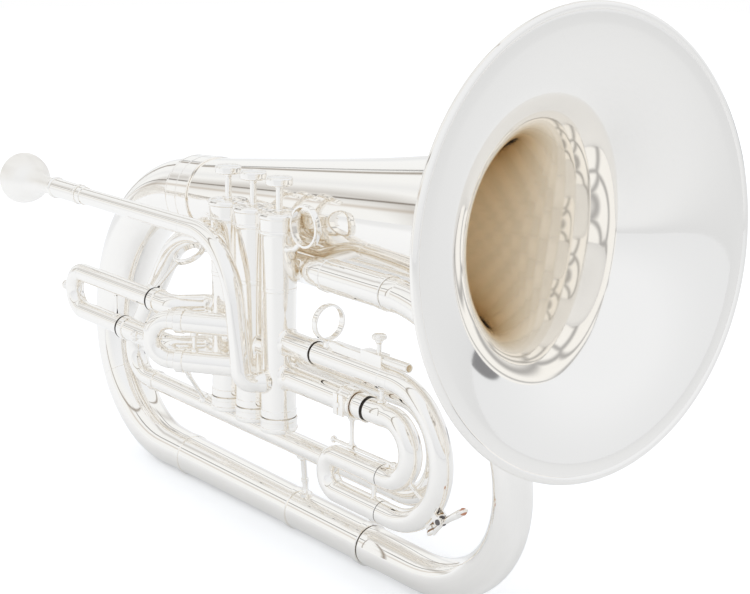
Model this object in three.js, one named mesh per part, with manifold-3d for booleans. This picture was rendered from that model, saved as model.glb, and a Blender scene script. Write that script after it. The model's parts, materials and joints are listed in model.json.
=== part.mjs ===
// Marching baritone: a three-valve brass horn carried with the bell pointing forward.
// Units are millimetres and +Z is up. +X runs forward along the valve row to the bell, and +Y is the
// player's left. Places are measured from the third valve's axis at the top of its button.
// At the end the whole horn is moved so that the origin is the middle of its bounding box.
import * as THREE from 'three';
import { mergeVertices } from 'three/addons/utils/BufferGeometryUtils.js';
import Module from 'manifold-3d';

// Clearances and walls that many pieces share
const runningGap = 0.3;
const tubeWall = 0.7;
const cutOverrun = 6;
const cutterShare = 6;
const collarRise = 0.9;
const collarLength = 6;
const degree = Math.PI / 180;
const closeShare = 0.001;

// Facet counts
const wideSides = 14;
const tubeSides = 10;
const smallSides = 10;
const roundSides = 14;
const bellSides = 28;
const wireSides = 4;
const wireSteps = 6;
const bigBendStep = 18 * degree;
const bendStep = 36 * degree;

// Bell
const bell = {
  rimRadius: 127,
  // The outside of the sheet: distance back from the rim, and radius there
  profile: [
    [2.4, 116.5],
    [6, 103],
    [12, 89],
    [21, 76],
    [34, 65],
    [52, 56],
    [76, 49.2],
    [110, 43.6],
    [160, 38.4],
    [230, 33.7],
    [300, 30],
    [375, 26.3],
  ],
  wall: 0.9,
  beadRadius: 2.4,
  beadSteps: 4,
  beadStartAngle: -150 * degree,
  beadSweepAngle: 300 * degree,
  rimForward: 219.8,
  rimSide: 48,
  rimHeight: -11.7,
  tiltAngle: 4.05 * degree,
};
const garland = { length: 28, wall: 1 };

// Main branches behind and below the bell
const rearBow = { startRadius: 25.9, endRadius: 14.4, bendRadius: 92, reach: 262, endForward: -150 };
const bottomTube = { side: 27, height: -227, rearRadius: 14.4, frontRadius: 13.2 };
const lowerSleeve = { start: -18, end: 62, radius: 13.2 };
const mainSlide = {
  lowerLegRadius: 12.2,
  upperLegRadius: 9.3,
  reach: 196.7,
  lowerLegEnd: -8,
  upperLegEnd: 52,
  bowRise: 0.6,
};
const upperTube = {
  side: 1.5,
  height: -52.8,
  valveSide: 20.5,
  valveHeight: -61,
  valveForward: 8,
  frontForward: 38,
  bendRadius: 22,
};
const upperBranch = { startForward: -112, endForward: 47, startRadius: 7.8, endRadius: 9.5 };
const upperSleeve = { bendGap: 1.7, radius: 10.2 };
const innerBow = {
  topForward: -148,
  lowForward: -236,
  topBend: 55,
  lowBend: 20,
  startForward: -190,
  startRadius: 7,
};
const outletBranch = {
  radius: 7,
  side: 22.5,
  topHeight: -120,
  lowHeight: -180,
  bowForward: 97,
  elbowRadius: 10,
};

// Valves
const valve = {
  count: 3,
  pitch: 28.07,
  buttonRadius: 8.45,
  buttonHeight: 5.4,
  buttonEdge: 0.7,
  stemRadius: 2.5,
  topCapTop: -22,
  topCapBottom: -35,
  topCapRadius: 13.5,
  topCapFloor: 2.2,
  topCapStep: 1,
  casingRadius: 11.45,
  boreRadius: 10.45,
  casingTop: -24.6,
  bottomSeam: -152.7,
  threadRadius: 11,
  threadEnd: -160,
  bottomCapRadius: 12.1,
  bottomCapBottom: -163,
  bottomCapFloor: 1.5,
  ventRadius: 1.6,
  pistonTop: -62,
  pistonBottom: -137,
  pistonRadius: 10.15,
  pistonGroove: 0.5,
  springRadius: 7,
  springWire: 0.55,
  springTurns: 3,
};
const knuckle = { radius: 7, height: -110 };

// Leadpipe, receiver and mouthpiece
const leadpipe = {
  side: -24,
  height: -39.3,
  startForward: -221,
  startRadius: 5.9,
  endRadius: 6.5,
  cornerForward: -19.7,
  footForward: -5.6,
  footHeight: -129,
  entryForward: 0.5,
  topBend: 48,
  footBend: 8,
};
const receiver = { start: -247, end: -208, radius: 7, bore: 6.2 };
const mouthpiece = {
  rimForward: -302,
  rimRadius: 19.2,
  rimInnerRadius: 12.9,
  rimRound: 2.6,
  bowlLength: 25,
  neckLength: 42,
  neckRadius: 6.6,
  length: 80,
  shankStart: 5.9,
  shankEnd: 5.2,
  throatRadius: 3.2,
  throatDepth: 26,
  outletRadius: 4.3,
  rimShares: [0.5, 0.25],
  bowlShares: [[0.97, 0.35], [0.8, 0.7], [0.56, 1]],
  neckShare: 0.55,
  cupShares: [[0.5, 0.86], [0.84, 0.6], [0.97, 0.3]],
};
const knob = { radius: 3.4, length: 9, stemRadius: 1.7, stemShare: 0.5, flareShare: 0.6, roundShare: 0.9 };
const leadBrace = { radius: 2, footRadius: 4, height: -41.5 };

// First valve's slide, on the player's right
const firstSlide = {
  side: -22,
  upperHeight: -97,
  lowerHeight: -125,
  legRadius: 6.6,
  sleeveRadius: 7.6,
  turnForward: -78,
  straightForward: -90,
  upperSleeveEnd: -111.4,
  lowerSleeveEnd: -152.5,
  legEnd: -95,
  bendForward: -212,
  sleeveBend: 9,
  braceForward: -165,
  braceRadius: 1.7,
};
const firstRing = {
  forward: -106,
  side: 1,
  height: -67,
  outerRadius: 11.2,
  band: 1.7,
  width: 4,
  leanAngle: 27 * degree,
  saddleForward: -120,
  saddleRadius: 4.4,
  stemRadius: 1.7,
};

// Second valve's slide, turned outward
const secondSlide = {
  upperHeight: -98.5,
  lowerHeight: -124.5,
  cornerSide: -14.2,
  aimAngle: 34.2 * degree,
  legRadius: 6.3,
  sleeveRadius: 7.3,
  sleeveLength: 40,
  legEnd: 8,
  bendDistance: 44.5,
  sleeveBend: 7,
  braceDistance: 28,
  braceRadius: 1.5,
};

// Third valve's slide, with its nested bows
const thirdSlide = {
  upperHeight: -102.8,
  lowerHeight: -125,
  loopTopHeight: -162.5,
  loopLowHeight: -185,
  legRadius: 7,
  sleeveRadius: 8,
  upperSleeveEnd: 40.5,
  lowerSleeveEnd: 91,
  legEnd: 15,
  outerBowForward: 114,
  innerBowForward: 110,
  ferruleForward: 105,
  loopForward: 63,
  ferruleLength: 7,
  tieForward: 102,
  tieAngle: -40 * degree,
};
const thirdRing = { forward: 51, height: -81.1, outerRadius: 11.4, band: 1.6, width: 4.5, footRadius: 3.2 };
const lyre = {
  plateStart: 55.5,
  plateTop: -91.7,
  blockStart: 86,
  blockEnd: 105,
  width: 7,
  top: -89.2,
  socketEnd: 126,
  socketRadius: 2.9,
  boreRadius: 2,
  boreDepth: 34,
  screwForward: 99,
  screwRadius: 1.6,
  headRadius: 4.35,
  headHeight: 3,
  headBottom: -81.1,
};
const stop = {
  clampStart: 68.5,
  clampEnd: 81.5,
  clampWall: 1.3,
  postRadius: 1.5,
  rodRadius: 1.1,
  rodHeight: -152.9,
  rodStart: 56,
  rodEnd: 117,
  knobRadius: 2.2,
  knobLength: 3,
  eyeRadius: 2.3,
  eyeLength: 5,
  footRadius: 1.8,
  footForward: 108,
};

// Water key on the third slide's outer bow
const waterKey = {
  pivotAngle: -34 * degree,
  nippleAngle: -47.5 * degree,
  touchAngle: 33 * degree,
  pivotReach: 11.2,
  slotLength: 18,
  earThickness: 1.4,
  earGap: 4.6,
  earRadius: 2.4,
  pinRadius: 1,
  barrelRadius: 2.2,
  nippleRadius: 2.6,
  nippleReach: 9.6,
  padRadius: 3.6,
  padHeight: 2.2,
  leverRadius: 1.5,
  leverBend: 4,
  leverLength: 19,
  touchRadius: 3.6,
  touchThickness: 1.6,
};

// Finger rest and the braces between the branches
const pinkyRing = {
  forward: 28.5,
  side: -1,
  height: -26.5,
  outerRadius: 13.4,
  band: 1.8,
  width: 4.4,
  footTop: -36.4,
  footBottom: -46,
  footEnd: 21,
};
const sleeveBrace = { forwardTop: -95, forwardLow: -118, radius: 1.6, footRadius: 4 };
const branchBrace = { forward: -5, radius: 2.2, footRadius: 4.2 };
const footThickness = 1.4;

const wasm = await Module();
wasm.setup();

const place = (x, y, z) => new THREE.Vector3(x, y, z);
const forward = place(1, 0, 0);
const left = place(0, 1, 0);
const upward = place(0, 0, 1);

const mainBowSpread = place(0, bottomTube.side - upperTube.side, bottomTube.height - upperTube.height);
const mainBowNormal = forward.clone().cross(mainBowSpread).normalize();
const mainBendRadius = mainBowSpread.length() / 2;
const mainBendForward = mainSlide.reach - mainBendRadius;
const upperSleeveEnd = mainBendForward - upperSleeve.bendGap;

const silver = { color: 0xe6e7e6, roughness: 0.14, metalness: 1 };
const horn = new THREE.Group();

// Turns faces outward if a closed shape came out inside out, and drops slivers
function outward(geometry) {
  const bare = geometry.clone();
  bare.deleteAttribute('normal');
  bare.deleteAttribute('uv');
  const merged = mergeVertices(bare);
  const points = merged.attributes.position;
  const corners = [0, 1, 2].map(() => new THREE.Vector3());
  const kept = [];
  let volume = 0;
  for (let i = 0; i < merged.index.count; i += 3) {
    const face = [0, 1, 2].map((k) => merged.index.getX(i + k));
    if (new Set(face).size < 3) {
      continue;
    }
    kept.push(...face);
    face.forEach((index, k) => corners[k].fromBufferAttribute(points, index));
    volume += corners[0].dot(corners[1].clone().cross(corners[2]));
  }
  if (volume < 0) {
    kept.reverse();
  }
  merged.setIndex(kept);
  return merged;
}

function toSolid(geometry) {
  const closed = outward(geometry);
  const vertProperties = new Float32Array(closed.attributes.position.array);
  const triVerts = new Uint32Array(closed.index.array);
  return new wasm.Manifold(new wasm.Mesh({ numProp: 3, vertProperties, triVerts }));
}

function fromSolid(body) {
  const mesh = body.getMesh();
  const geometry = new THREE.BufferGeometry();
  geometry.setAttribute('position', new THREE.BufferAttribute(mesh.vertProperties, mesh.numProp));
  geometry.setIndex(new THREE.BufferAttribute(mesh.triVerts, 1));
  return geometry;
}

function join(...geometries) {
  return fromSolid(geometries.map(toSolid).reduce((whole, piece) => whole.add(piece)));
}

function cut(geometry, ...cutters) {
  return fromSolid(cutters.map(toSolid).reduce((whole, piece) => whole.subtract(piece), toSolid(geometry)));
}

function addPiece(name, geometry, look = silver) {
  const mesh = new THREE.Mesh(outward(geometry), new THREE.MeshStandardMaterial(look));
  mesh.name = name;
  horn.add(mesh);
  return mesh;
}

// A shape of revolution about Z from a closed outline of [radius, height] pairs
function turned(outline, sides) {
  const points = outline.map(([radius, height]) => new THREE.Vector2(radius, height));
  points.push(points[0].clone());
  return new THREE.LatheGeometry(points, sides).rotateX(Math.PI / 2);
}

// Points Z along a direction and moves the shape to a place
function aimed(geometry, direction, where) {
  const turn = new THREE.Quaternion().setFromUnitVectors(upward, direction.clone().normalize());
  return geometry.applyQuaternion(turn).translate(where.x, where.y, where.z);
}

function disc(radius, height, sides) {
  return turned([[0, 0], [radius, 0], [radius, height], [0, height]], sides);
}

function band(outerRadius, thickness, width, sides) {
  const innerRadius = outerRadius - thickness;
  const half = width / 2;
  return turned([
    [innerRadius, -half],
    [outerRadius, -half],
    [outerRadius, half],
    [innerRadius, half],
  ], sides);
}

// A path of straight runs joined by round bends, as a tube bender makes them
function bentRoute(corners, bendRadius, side, step = bendStep) {
  const route = [];
  const add = (point, along, size) => {
    const last = route.at(-1);
    const gap = last ? last.point.distanceTo(point) : 0;
    if (last && gap < size * closeShare) {
      return;
    }
    route.push({ point, along, distance: last ? last.distance + gap : 0 });
  };
  const bends = corners.slice(1, -1).map((corner, i) => {
    const radius = Array.isArray(bendRadius) ? bendRadius[i] : bendRadius;
    const before = corner.clone().sub(corners[i]).normalize();
    const after = corners[i + 2].clone().sub(corner).normalize();
    const turn = before.angleTo(after);
    const axis = before.clone().cross(after).normalize();
    const start = corner.clone().addScaledVector(before, -radius * Math.tan(turn / 2));
    const centre = start.clone().addScaledVector(axis.clone().cross(before), radius);
    return { radius, before, turn, axis, start, centre };
  });
  add(corners[0], corners[1].clone().sub(corners[0]).normalize(), 0);
  for (const { radius, before, turn, axis, start, centre } of bends) {
    const steps = Math.ceil(turn / step - closeShare);
    for (let k = 0; k <= steps; k += 1) {
      const angle = (turn * k) / steps;
      const point = start.clone().sub(centre).applyAxisAngle(axis, angle).add(centre);
      add(point, before.clone().applyAxisAngle(axis, angle), radius);
    }
  }
  const end = corners.at(-1);
  const arriving = end.clone().sub(corners.at(-2)).normalize();
  add(end, arriving, end.distanceTo(corners.at(-2)));
  let across = side.clone();
  for (const station of route) {
    across = across.clone().addScaledVector(station.along, -across.dot(station.along)).normalize();
    station.side = across;
  }
  return route;
}

function stationAt(route, distance) {
  let i = 1;
  while (i < route.length - 1 && route[i].distance < distance) {
    i += 1;
  }
  const [from, to] = [route[i - 1], route[i]];
  const share = (distance - from.distance) / (to.distance - from.distance);
  return {
    point: from.point.clone().lerp(to.point, share),
    along: from.along.clone().lerp(to.along, share).normalize(),
    side: from.side.clone().lerp(to.side, share).normalize(),
    distance,
  };
}

// The radius along a path: even runs at each end, and an even taper between them
function tapered(startRadius, endRadius, startRun = 0, endRun = 0) {
  return (distance, total) => {
    const share = (distance - startRun) / (total - startRun - endRun);
    return startRadius + (endRadius - startRadius) * Math.min(1, Math.max(0, share));
  };
}

function ringsAlong(route, radius, collars) {
  const total = route.at(-1).distance;
  const ring = (distance, rise) => ({
    ...stationAt(route, distance),
    radius: radius(distance, total) + rise,
  });
  const rings = [];
  const edges = collars.flatMap(({ from, to, rise }) => [
    { distance: from, before: 0, after: rise },
    { distance: to, before: rise, after: 0 },
  ]).sort((a, b) => a.distance - b.distance);
  let rise = 0;
  const take = (distance) => {
    const last = rings.at(-1);
    if (!last || distance - last.distance > radius(distance, total) * closeShare || last.rise !== rise) {
      rings.push({ ...ring(distance, rise), rise });
    }
  };
  for (const station of route) {
    while (edges.length && edges[0].distance <= station.distance) {
      const edge = edges.shift();
      if (edge.distance > 0) {
        take(edge.distance);
      }
      rise = edge.after;
      if (edge.distance < total) {
        take(edge.distance);
      }
    }
    if (station.distance < total || rings.at(-1).distance < total) {
      take(station.distance);
    }
  }
  return rings;
}

// Joins rings of points into one closed skin: a loop of rings, or one with a point at each end
function skin(rings, sides, looped) {
  const positions = [];
  const index = [];
  for (const { point, along, side, radius } of rings) {
    const up = along.clone().cross(side);
    for (let k = 0; k < sides; k += 1) {
      const angle = (2 * Math.PI * k) / sides;
      const spot = point.clone();
      spot.addScaledVector(side, radius * Math.cos(angle)).addScaledVector(up, radius * Math.sin(angle));
      positions.push(spot.x, spot.y, spot.z);
    }
  }
  const count = rings.length;
  for (let i = 0; i < (looped ? count : count - 1); i += 1) {
    for (let k = 0; k < sides; k += 1) {
      const next = (k + 1) % sides;
      const [a, b] = [i * sides + k, i * sides + next];
      const [c, d] = [((i + 1) % count) * sides + k, ((i + 1) % count) * sides + next];
      index.push(a, b, d, a, d, c);
    }
  }
  if (!looped) {
    const [first, last] = [rings[0].point, rings.at(-1).point];
    const start = positions.length / 3;
    positions.push(first.x, first.y, first.z, last.x, last.y, last.z);
    for (let k = 0; k < sides; k += 1) {
      const next = (k + 1) % sides;
      const low = (count - 1) * sides;
      index.push(start, next, k, start + 1, low + k, low + next);
    }
  }
  const geometry = new THREE.BufferGeometry();
  geometry.setAttribute('position', new THREE.Float32BufferAttribute(positions, 3));
  geometry.setIndex(index);
  return outward(geometry);
}

function hollowTube(route, radius, { wall = tubeWall, sides = tubeSides, collars = [] } = {}) {
  const outer = ringsAlong(route, radius, collars);
  const inner = ringsAlong(route, (distance, total) => radius(distance, total) - wall, []);
  return skin([...outer, ...inner.reverse()], sides, true);
}

function rod(route, radius, sides = smallSides, collars = []) {
  return skin(ringsAlong(route, radius, collars), sides, false);
}

function straight(from, to, side = left) {
  return bentRoute([from, to], [], side);
}

const even = (radius) => () => radius;
const wholeLength = (route) => route.at(-1).distance;
const startCollar = (rise = collarRise, length = collarLength) => ({ from: 0, to: length, rise });
const endCollar = (route, rise = collarRise, length = collarLength) => ({
  from: wholeLength(route) - length,
  to: wholeLength(route),
  rise,
});

// A cutter that leaves the running gap round a straight tube
function envelope(centre, direction, radius, length, sides = roundSides) {
  const fit = (radius + runningGap) / Math.cos(Math.PI / sides);
  const start = centre.clone().addScaledVector(direction, -length / 2);
  return aimed(disc(fit, length, sides), direction, start);
}

const valveForward = (number) => (number - valve.count) * valve.pitch;
const casingEnvelope = (number) => {
  const middle = (valve.topCapTop + valve.bottomCapBottom) / 2;
  const length = valve.topCapTop - valve.bottomCapBottom;
  return envelope(place(valveForward(number), 0, middle), upward, valve.casingRadius, length, roundSides * 2);
};

// A soldered brace: a thin rod with a round foot at each tube, cut to sit on both tubes
function brace(first, second, rodRadius, footRadius) {
  const [from, to] = [first.centre, second.centre];
  const span = from.distanceTo(to);
  const route = straight(from, to, left.clone().add(upward));
  const reach = (tube) => tube.radius + runningGap + footThickness;
  const collars = [
    { from: 0, to: reach(first), rise: footRadius - rodRadius },
    { from: span - reach(second), to: span, rise: footRadius - rodRadius },
  ];
  const bar = rod(route, even(rodRadius), smallSides, collars);
  const cutters = [first, second].map(({ centre, direction, radius }) => (
    envelope(centre, direction, radius, footRadius * cutterShare)
  ));
  return cut(bar, ...cutters);
}

// The bell is one turned sheet with a rolled bead at its rim
function makeBell() {
  const { profile, rimRadius, wall, beadRadius } = bell;
  const outside = profile.map(([back, radius]) => [radius, -back]).reverse();
  const inside = profile.map(([back, radius], i) => {
    const [nearBack, nearRadius] = profile[Math.max(0, i - 1)];
    const [farBack, farRadius] = profile[Math.min(profile.length - 1, i + 1)];
    const slope = (nearRadius - farRadius) / (farBack - nearBack);
    const size = Math.hypot(1, slope);
    return [radius - wall / size, -back + (wall * slope) / size];
  });
  const bead = [];
  for (let k = 0; k <= bell.beadSteps; k += 1) {
    const angle = bell.beadStartAngle + (bell.beadSweepAngle * k) / bell.beadSteps;
    const reach = rimRadius - beadRadius;
    bead.push([reach + beadRadius * Math.cos(angle), beadRadius * (Math.sin(angle) - 1)]);
  }
  const axis = place(Math.cos(bell.tiltAngle), 0, Math.sin(bell.tiltAngle));
  const rim = place(bell.rimForward, bell.rimSide, bell.rimHeight);
  addPiece('bell', aimed(turned([...outside, ...bead, ...inside], bellSides), axis, rim));

  const [length, endRadius] = profile.at(-1);
  const [beforeEnd, beforeRadius] = profile.at(-2);
  const taper = (beforeRadius - endRadius) / (length - beforeEnd);
  const tailRadius = endRadius + (taper * garland.length) / 2;
  const ringInner = tailRadius + runningGap;
  const ringOuter = ringInner + garland.wall;
  const ring = turned([
    [ringInner, 0],
    [ringOuter, 0],
    [ringOuter, garland.length],
    [ringInner, garland.length],
  ], bellSides);
  const ringStart = rim.clone().addScaledVector(axis, -length - garland.length / 2);
  addPiece('garland_ring', aimed(ring, axis, ringStart));
  return { axis, tail: rim.clone().addScaledVector(axis, -length - runningGap) };
}

function makeRearBow({ axis, tail }) {
  const { reach, bendRadius, endForward } = rearBow;
  const topCorner = tail.clone().addScaledVector(axis, -(tail.x + reach) / axis.x);
  const lowCorner = place(-reach, bottomTube.side, bottomTube.height);
  const end = place(endForward, bottomTube.side, bottomTube.height);
  const route = bentRoute([tail, topCorner, lowCorner, end], bendRadius, left, bigBendStep);
  const radius = tapered(rearBow.startRadius, rearBow.endRadius);
  addPiece('rear_bow', hollowTube(route, radius, { sides: wideSides }));

  const branchStart = place(endForward + runningGap, bottomTube.side, bottomTube.height);
  const sleeveStart = place(lowerSleeve.start, bottomTube.side, bottomTube.height);
  const branch = straight(branchStart, sleeveStart, mainBowNormal);
  const branchRadius = tapered(bottomTube.rearRadius, bottomTube.frontRadius);
  const collars = [startCollar()];
  addPiece('bottom_branch', hollowTube(branch, branchRadius, { sides: wideSides, collars }));

  const from = sleeveStart.clone().addScaledVector(forward, runningGap);
  const sleeve = straight(from, place(lowerSleeve.end, bottomTube.side, bottomTube.height), mainBowNormal);
  addPiece('main_lower_sleeve', hollowTube(sleeve, even(lowerSleeve.radius), {
    sides: wideSides,
    collars: [startCollar(), endCollar(sleeve)],
  }));
}

function makeMainSlide() {
  const { reach } = mainSlide;
  const route = bentRoute([
    place(mainSlide.upperLegEnd, upperTube.side, upperTube.height),
    place(reach, upperTube.side, upperTube.height),
    place(reach, bottomTube.side, bottomTube.height),
    place(mainSlide.lowerLegEnd, bottomTube.side, bottomTube.height),
  ], mainBendRadius * (1 - closeShare), mainBowNormal, bigBendStep);
  const upperLeg = mainBendForward - mainSlide.upperLegEnd;
  const lowerLeg = mainBendForward - mainSlide.lowerLegEnd;
  const total = wholeLength(route);
  const upperStop = upperSleeveEnd + runningGap - mainSlide.upperLegEnd;
  const lowerStop = total - (lowerSleeve.end + runningGap - mainSlide.lowerLegEnd);
  const collars = [{ from: upperStop, to: lowerStop, rise: mainSlide.bowRise }];
  const radius = tapered(mainSlide.upperLegRadius, mainSlide.lowerLegRadius, upperLeg, lowerLeg);
  addPiece('main_tuning_slide', hollowTube(route, radius, { sides: wideSides, collars }));
}

// The valve outlet turns forward, loops back below, and climbs to the upper branch
function makeInnerBranches() {
  const first = valveForward(1);
  const { side, topHeight, lowHeight, bowForward, radius, elbowRadius } = outletBranch;
  const bowRadius = (topHeight - lowHeight) / 2;
  const bowReach = bowForward + bowRadius;
  const outletRoute = bentRoute([
    place(first, 0, topHeight),
    place(first, side, topHeight),
    place(bowReach, side, topHeight),
    place(bowReach, side, lowHeight),
    place(innerBow.startForward, side, lowHeight),
  ], [elbowRadius, bowRadius * (1 - closeShare), bowRadius * (1 - closeShare)], upward);
  const outletCollars = [endCollar(outletRoute)];
  const outlet = hollowTube(outletRoute, even(radius), { sides: smallSides, collars: outletCollars });
  addPiece('valve_outlet_branch', cut(outlet, casingEnvelope(1)));

  const bowRoute = bentRoute([
    place(innerBow.startForward - runningGap, side, lowHeight),
    place(innerBow.lowForward, side, lowHeight),
    place(innerBow.topForward, upperTube.valveSide, upperTube.valveHeight),
    place(upperBranch.startForward, upperTube.valveSide, upperTube.valveHeight),
  ], [innerBow.lowBend, innerBow.topBend], left);
  const bowTaper = tapered(innerBow.startRadius, upperBranch.startRadius);
  addPiece('inner_bow', hollowTube(bowRoute, bowTaper, { collars: [endCollar(bowRoute)] }));

  const branchRoute = bentRoute([
    place(upperBranch.startForward + runningGap, upperTube.valveSide, upperTube.valveHeight),
    place(upperTube.valveForward, upperTube.valveSide, upperTube.valveHeight),
    place(upperTube.frontForward, upperTube.side, upperTube.height),
    place(upperBranch.endForward, upperTube.side, upperTube.height),
  ], upperTube.bendRadius, upward, bendStep / 2);
  const taper = tapered(upperBranch.startRadius, upperBranch.endRadius);
  addPiece('upper_branch', hollowTube(branchRoute, taper));

  const sleeve = straight(
    place(upperBranch.endForward + runningGap, upperTube.side, upperTube.height),
    place(upperSleeveEnd, upperTube.side, upperTube.height),
    mainBowNormal,
  );
  addPiece('main_upper_sleeve', hollowTube(sleeve, even(upperSleeve.radius), { sides: wideSides }));
}

function makeValve(number) {
  const x = valveForward(number);
  const put = (name, geometry) => addPiece(`${name}_${number}`, geometry.translate(x, 0, 0));
  const {
    casingRadius, boreRadius, threadRadius, topCapTop, topCapBottom, topCapRadius, topCapFloor, topCapStep,
    stemRadius,
  } = valve;

  put('valve_casing', turned([
    [boreRadius, valve.threadEnd],
    [threadRadius, valve.threadEnd],
    [threadRadius, valve.bottomSeam],
    [casingRadius, valve.bottomSeam],
    [casingRadius, valve.casingTop],
    [boreRadius, valve.casingTop],
  ], roundSides));

  const skirtInner = casingRadius + runningGap;
  const stemHole = stemRadius + runningGap;
  put('top_cap', turned([
    [skirtInner, topCapBottom],
    [topCapRadius, topCapBottom],
    [topCapRadius, topCapTop - topCapStep],
    [topCapRadius - topCapStep, topCapTop],
    [stemHole + topCapStep, topCapTop],
    [stemHole, topCapTop - topCapStep],
    [stemHole, topCapTop - topCapFloor],
    [skirtInner, topCapTop - topCapFloor],
  ], roundSides));

  const { bottomCapRadius, bottomCapBottom, bottomCapFloor, bottomSeam, ventRadius } = valve;
  const capInner = threadRadius + runningGap;
  put('bottom_cap', turned([
    [ventRadius, bottomCapBottom],
    [bottomCapRadius - bottomCapFloor, bottomCapBottom],
    [bottomCapRadius, bottomCapBottom + bottomCapFloor],
    [bottomCapRadius, bottomSeam - runningGap],
    [capInner, bottomSeam - runningGap],
    [capInner, bottomCapBottom + bottomCapFloor],
    [ventRadius, bottomCapBottom + bottomCapFloor],
  ], roundSides));

  const { pistonTop, pistonBottom, pistonRadius, pistonGroove } = valve;
  const { buttonRadius, buttonHeight, buttonEdge } = valve;
  put('piston', turned([
    [0, pistonBottom],
    [pistonRadius - pistonGroove, pistonBottom],
    [pistonRadius, pistonBottom + pistonGroove],
    [pistonRadius, pistonTop - pistonGroove],
    [pistonRadius - pistonGroove, pistonTop],
    [0, pistonTop],
  ], roundSides));

  put('valve_stem', turned([
    [0, pistonTop + runningGap],
    [stemRadius, pistonTop + runningGap],
    [stemRadius, -buttonHeight - runningGap],
    [0, -buttonHeight - runningGap],
  ], smallSides));

  put('finger_button', turned([
    [0, -buttonHeight],
    [buttonRadius - buttonEdge, -buttonHeight],
    [buttonRadius, buttonEdge - buttonHeight],
    [buttonRadius, -buttonEdge],
    [buttonRadius - buttonEdge, 0],
    [0, 0],
  ], roundSides));

  const { springRadius, springWire, springTurns } = valve;
  const low = bottomCapBottom + bottomCapFloor + runningGap + springWire;
  const high = pistonBottom - runningGap - springWire;
  class Coil extends THREE.Curve {
    getPoint(share, target = new THREE.Vector3()) {
      const angle = 2 * Math.PI * springTurns * share;
      const height = low + (high - low) * share;
      return target.set(springRadius * Math.cos(angle), springRadius * Math.sin(angle), height);
    }
  }
  const wire = new THREE.Shape(Array.from({ length: wireSides }, (_, k) => {
    const angle = (2 * Math.PI * k) / wireSides;
    return new THREE.Vector2(springWire * Math.cos(angle), springWire * Math.sin(angle));
  }));
  put('valve_spring', new THREE.ExtrudeGeometry(wire, {
    steps: wireSteps * springTurns,
    extrudePath: new Coil(),
    bevelEnabled: false,
  }));
}

function makeKnuckle(number) {
  const from = place(valveForward(number), 0, knuckle.height);
  const to = place(valveForward(number + 1), 0, knuckle.height);
  const tube = hollowTube(straight(from, to), even(knuckle.radius), { sides: smallSides });
  const name = `valve_knuckle_${number}_${number + 1}`;
  addPiece(name, cut(tube, casingEnvelope(number), casingEnvelope(number + 1)));
}

function makeLeadpipe() {
  const { side, height, topBend, footBend, footHeight, footForward } = leadpipe;
  const route = bentRoute([
    place(leadpipe.startForward, side, height),
    place(leadpipe.cornerForward, side, height),
    place(footForward, side, footHeight),
    place(leadpipe.entryForward, 0, footHeight),
  ], [topBend, footBend], left);
  const pipe = hollowTube(route, tapered(leadpipe.startRadius, leadpipe.endRadius), { sides: smallSides });
  addPiece('leadpipe', cut(pipe, casingEnvelope(valve.count)));

  const tube = turned([
    [receiver.bore, 0],
    [receiver.radius + collarRise, 0],
    [receiver.radius + collarRise, collarLength / 2],
    [receiver.radius, collarLength / 2],
    [receiver.radius, receiver.end - receiver.start],
    [receiver.bore, receiver.end - receiver.start],
  ], roundSides);
  addPiece('mouthpiece_receiver', aimed(tube, forward, place(receiver.start, side, height)));

  const {
    rimRadius, rimInnerRadius, rimRound, bowlLength, neckLength, neckRadius, length,
    shankStart, shankEnd, throatRadius, throatDepth, outletRadius, rimForward,
    rimShares, bowlShares, neckShare, cupShares,
  } = mouthpiece;
  const shankFrom = receiver.start - rimForward;
  const middle = (rimRadius + rimInnerRadius) / 2;
  const cup = turned([
    [rimInnerRadius, rimRound * rimShares[0]],
    [middle, 0],
    [rimRadius - rimRound * rimShares[0], rimRound * rimShares[1]],
    [rimRadius, rimRound],
    ...bowlShares.map(([wide, deep]) => [rimRadius * wide, bowlLength * deep]),
    [neckRadius, bowlLength + (neckLength - bowlLength) * neckShare],
    [neckRadius - runningGap, neckLength],
    [shankStart, shankFrom],
    [shankEnd, length],
    [outletRadius, length],
    [throatRadius, throatDepth + rimRound],
    [throatRadius, throatDepth],
    ...cupShares.map(([wide, deep]) => [rimInnerRadius * wide, throatDepth * deep]),
  ], roundSides);
  addPiece('mouthpiece', aimed(cup, forward, place(rimForward, side, height)));

  const first = valveForward(1);
  const leadpipeBrace = brace(
    { centre: place(first, side, leadBrace.height), direction: forward, radius: leadpipe.endRadius },
    { centre: place(first, 0, leadBrace.height), direction: upward, radius: valve.casingRadius },
    leadBrace.radius,
    leadBrace.footRadius,
  );
  addPiece('leadpipe_brace', cut(leadpipeBrace, bentEnvelope(route, leadpipe.endRadius)));
}

// Two legs and a round bend, as one tube
function slideRoute(from, middle, aim, spread) {
  const bendRadius = spread.length() / 2;
  const corner = middle.clone().addScaledVector(aim, bendRadius);
  return bentRoute([
    from,
    corner,
    corner.clone().add(spread),
    from.clone().add(spread),
  ], bendRadius * (1 - closeShare), spread.clone().normalize());
}

// A pull knob on a narrow stem, pointing up
function pullKnob() {
  const { radius, length, stemRadius, stemShare, flareShare, roundShare } = knob;
  return turned([
    [0, 0],
    [stemRadius, 0],
    [stemRadius, length * stemShare],
    [radius, length * flareShare],
    [radius, length * roundShare],
    [0, length],
  ], smallSides);
}

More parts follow.
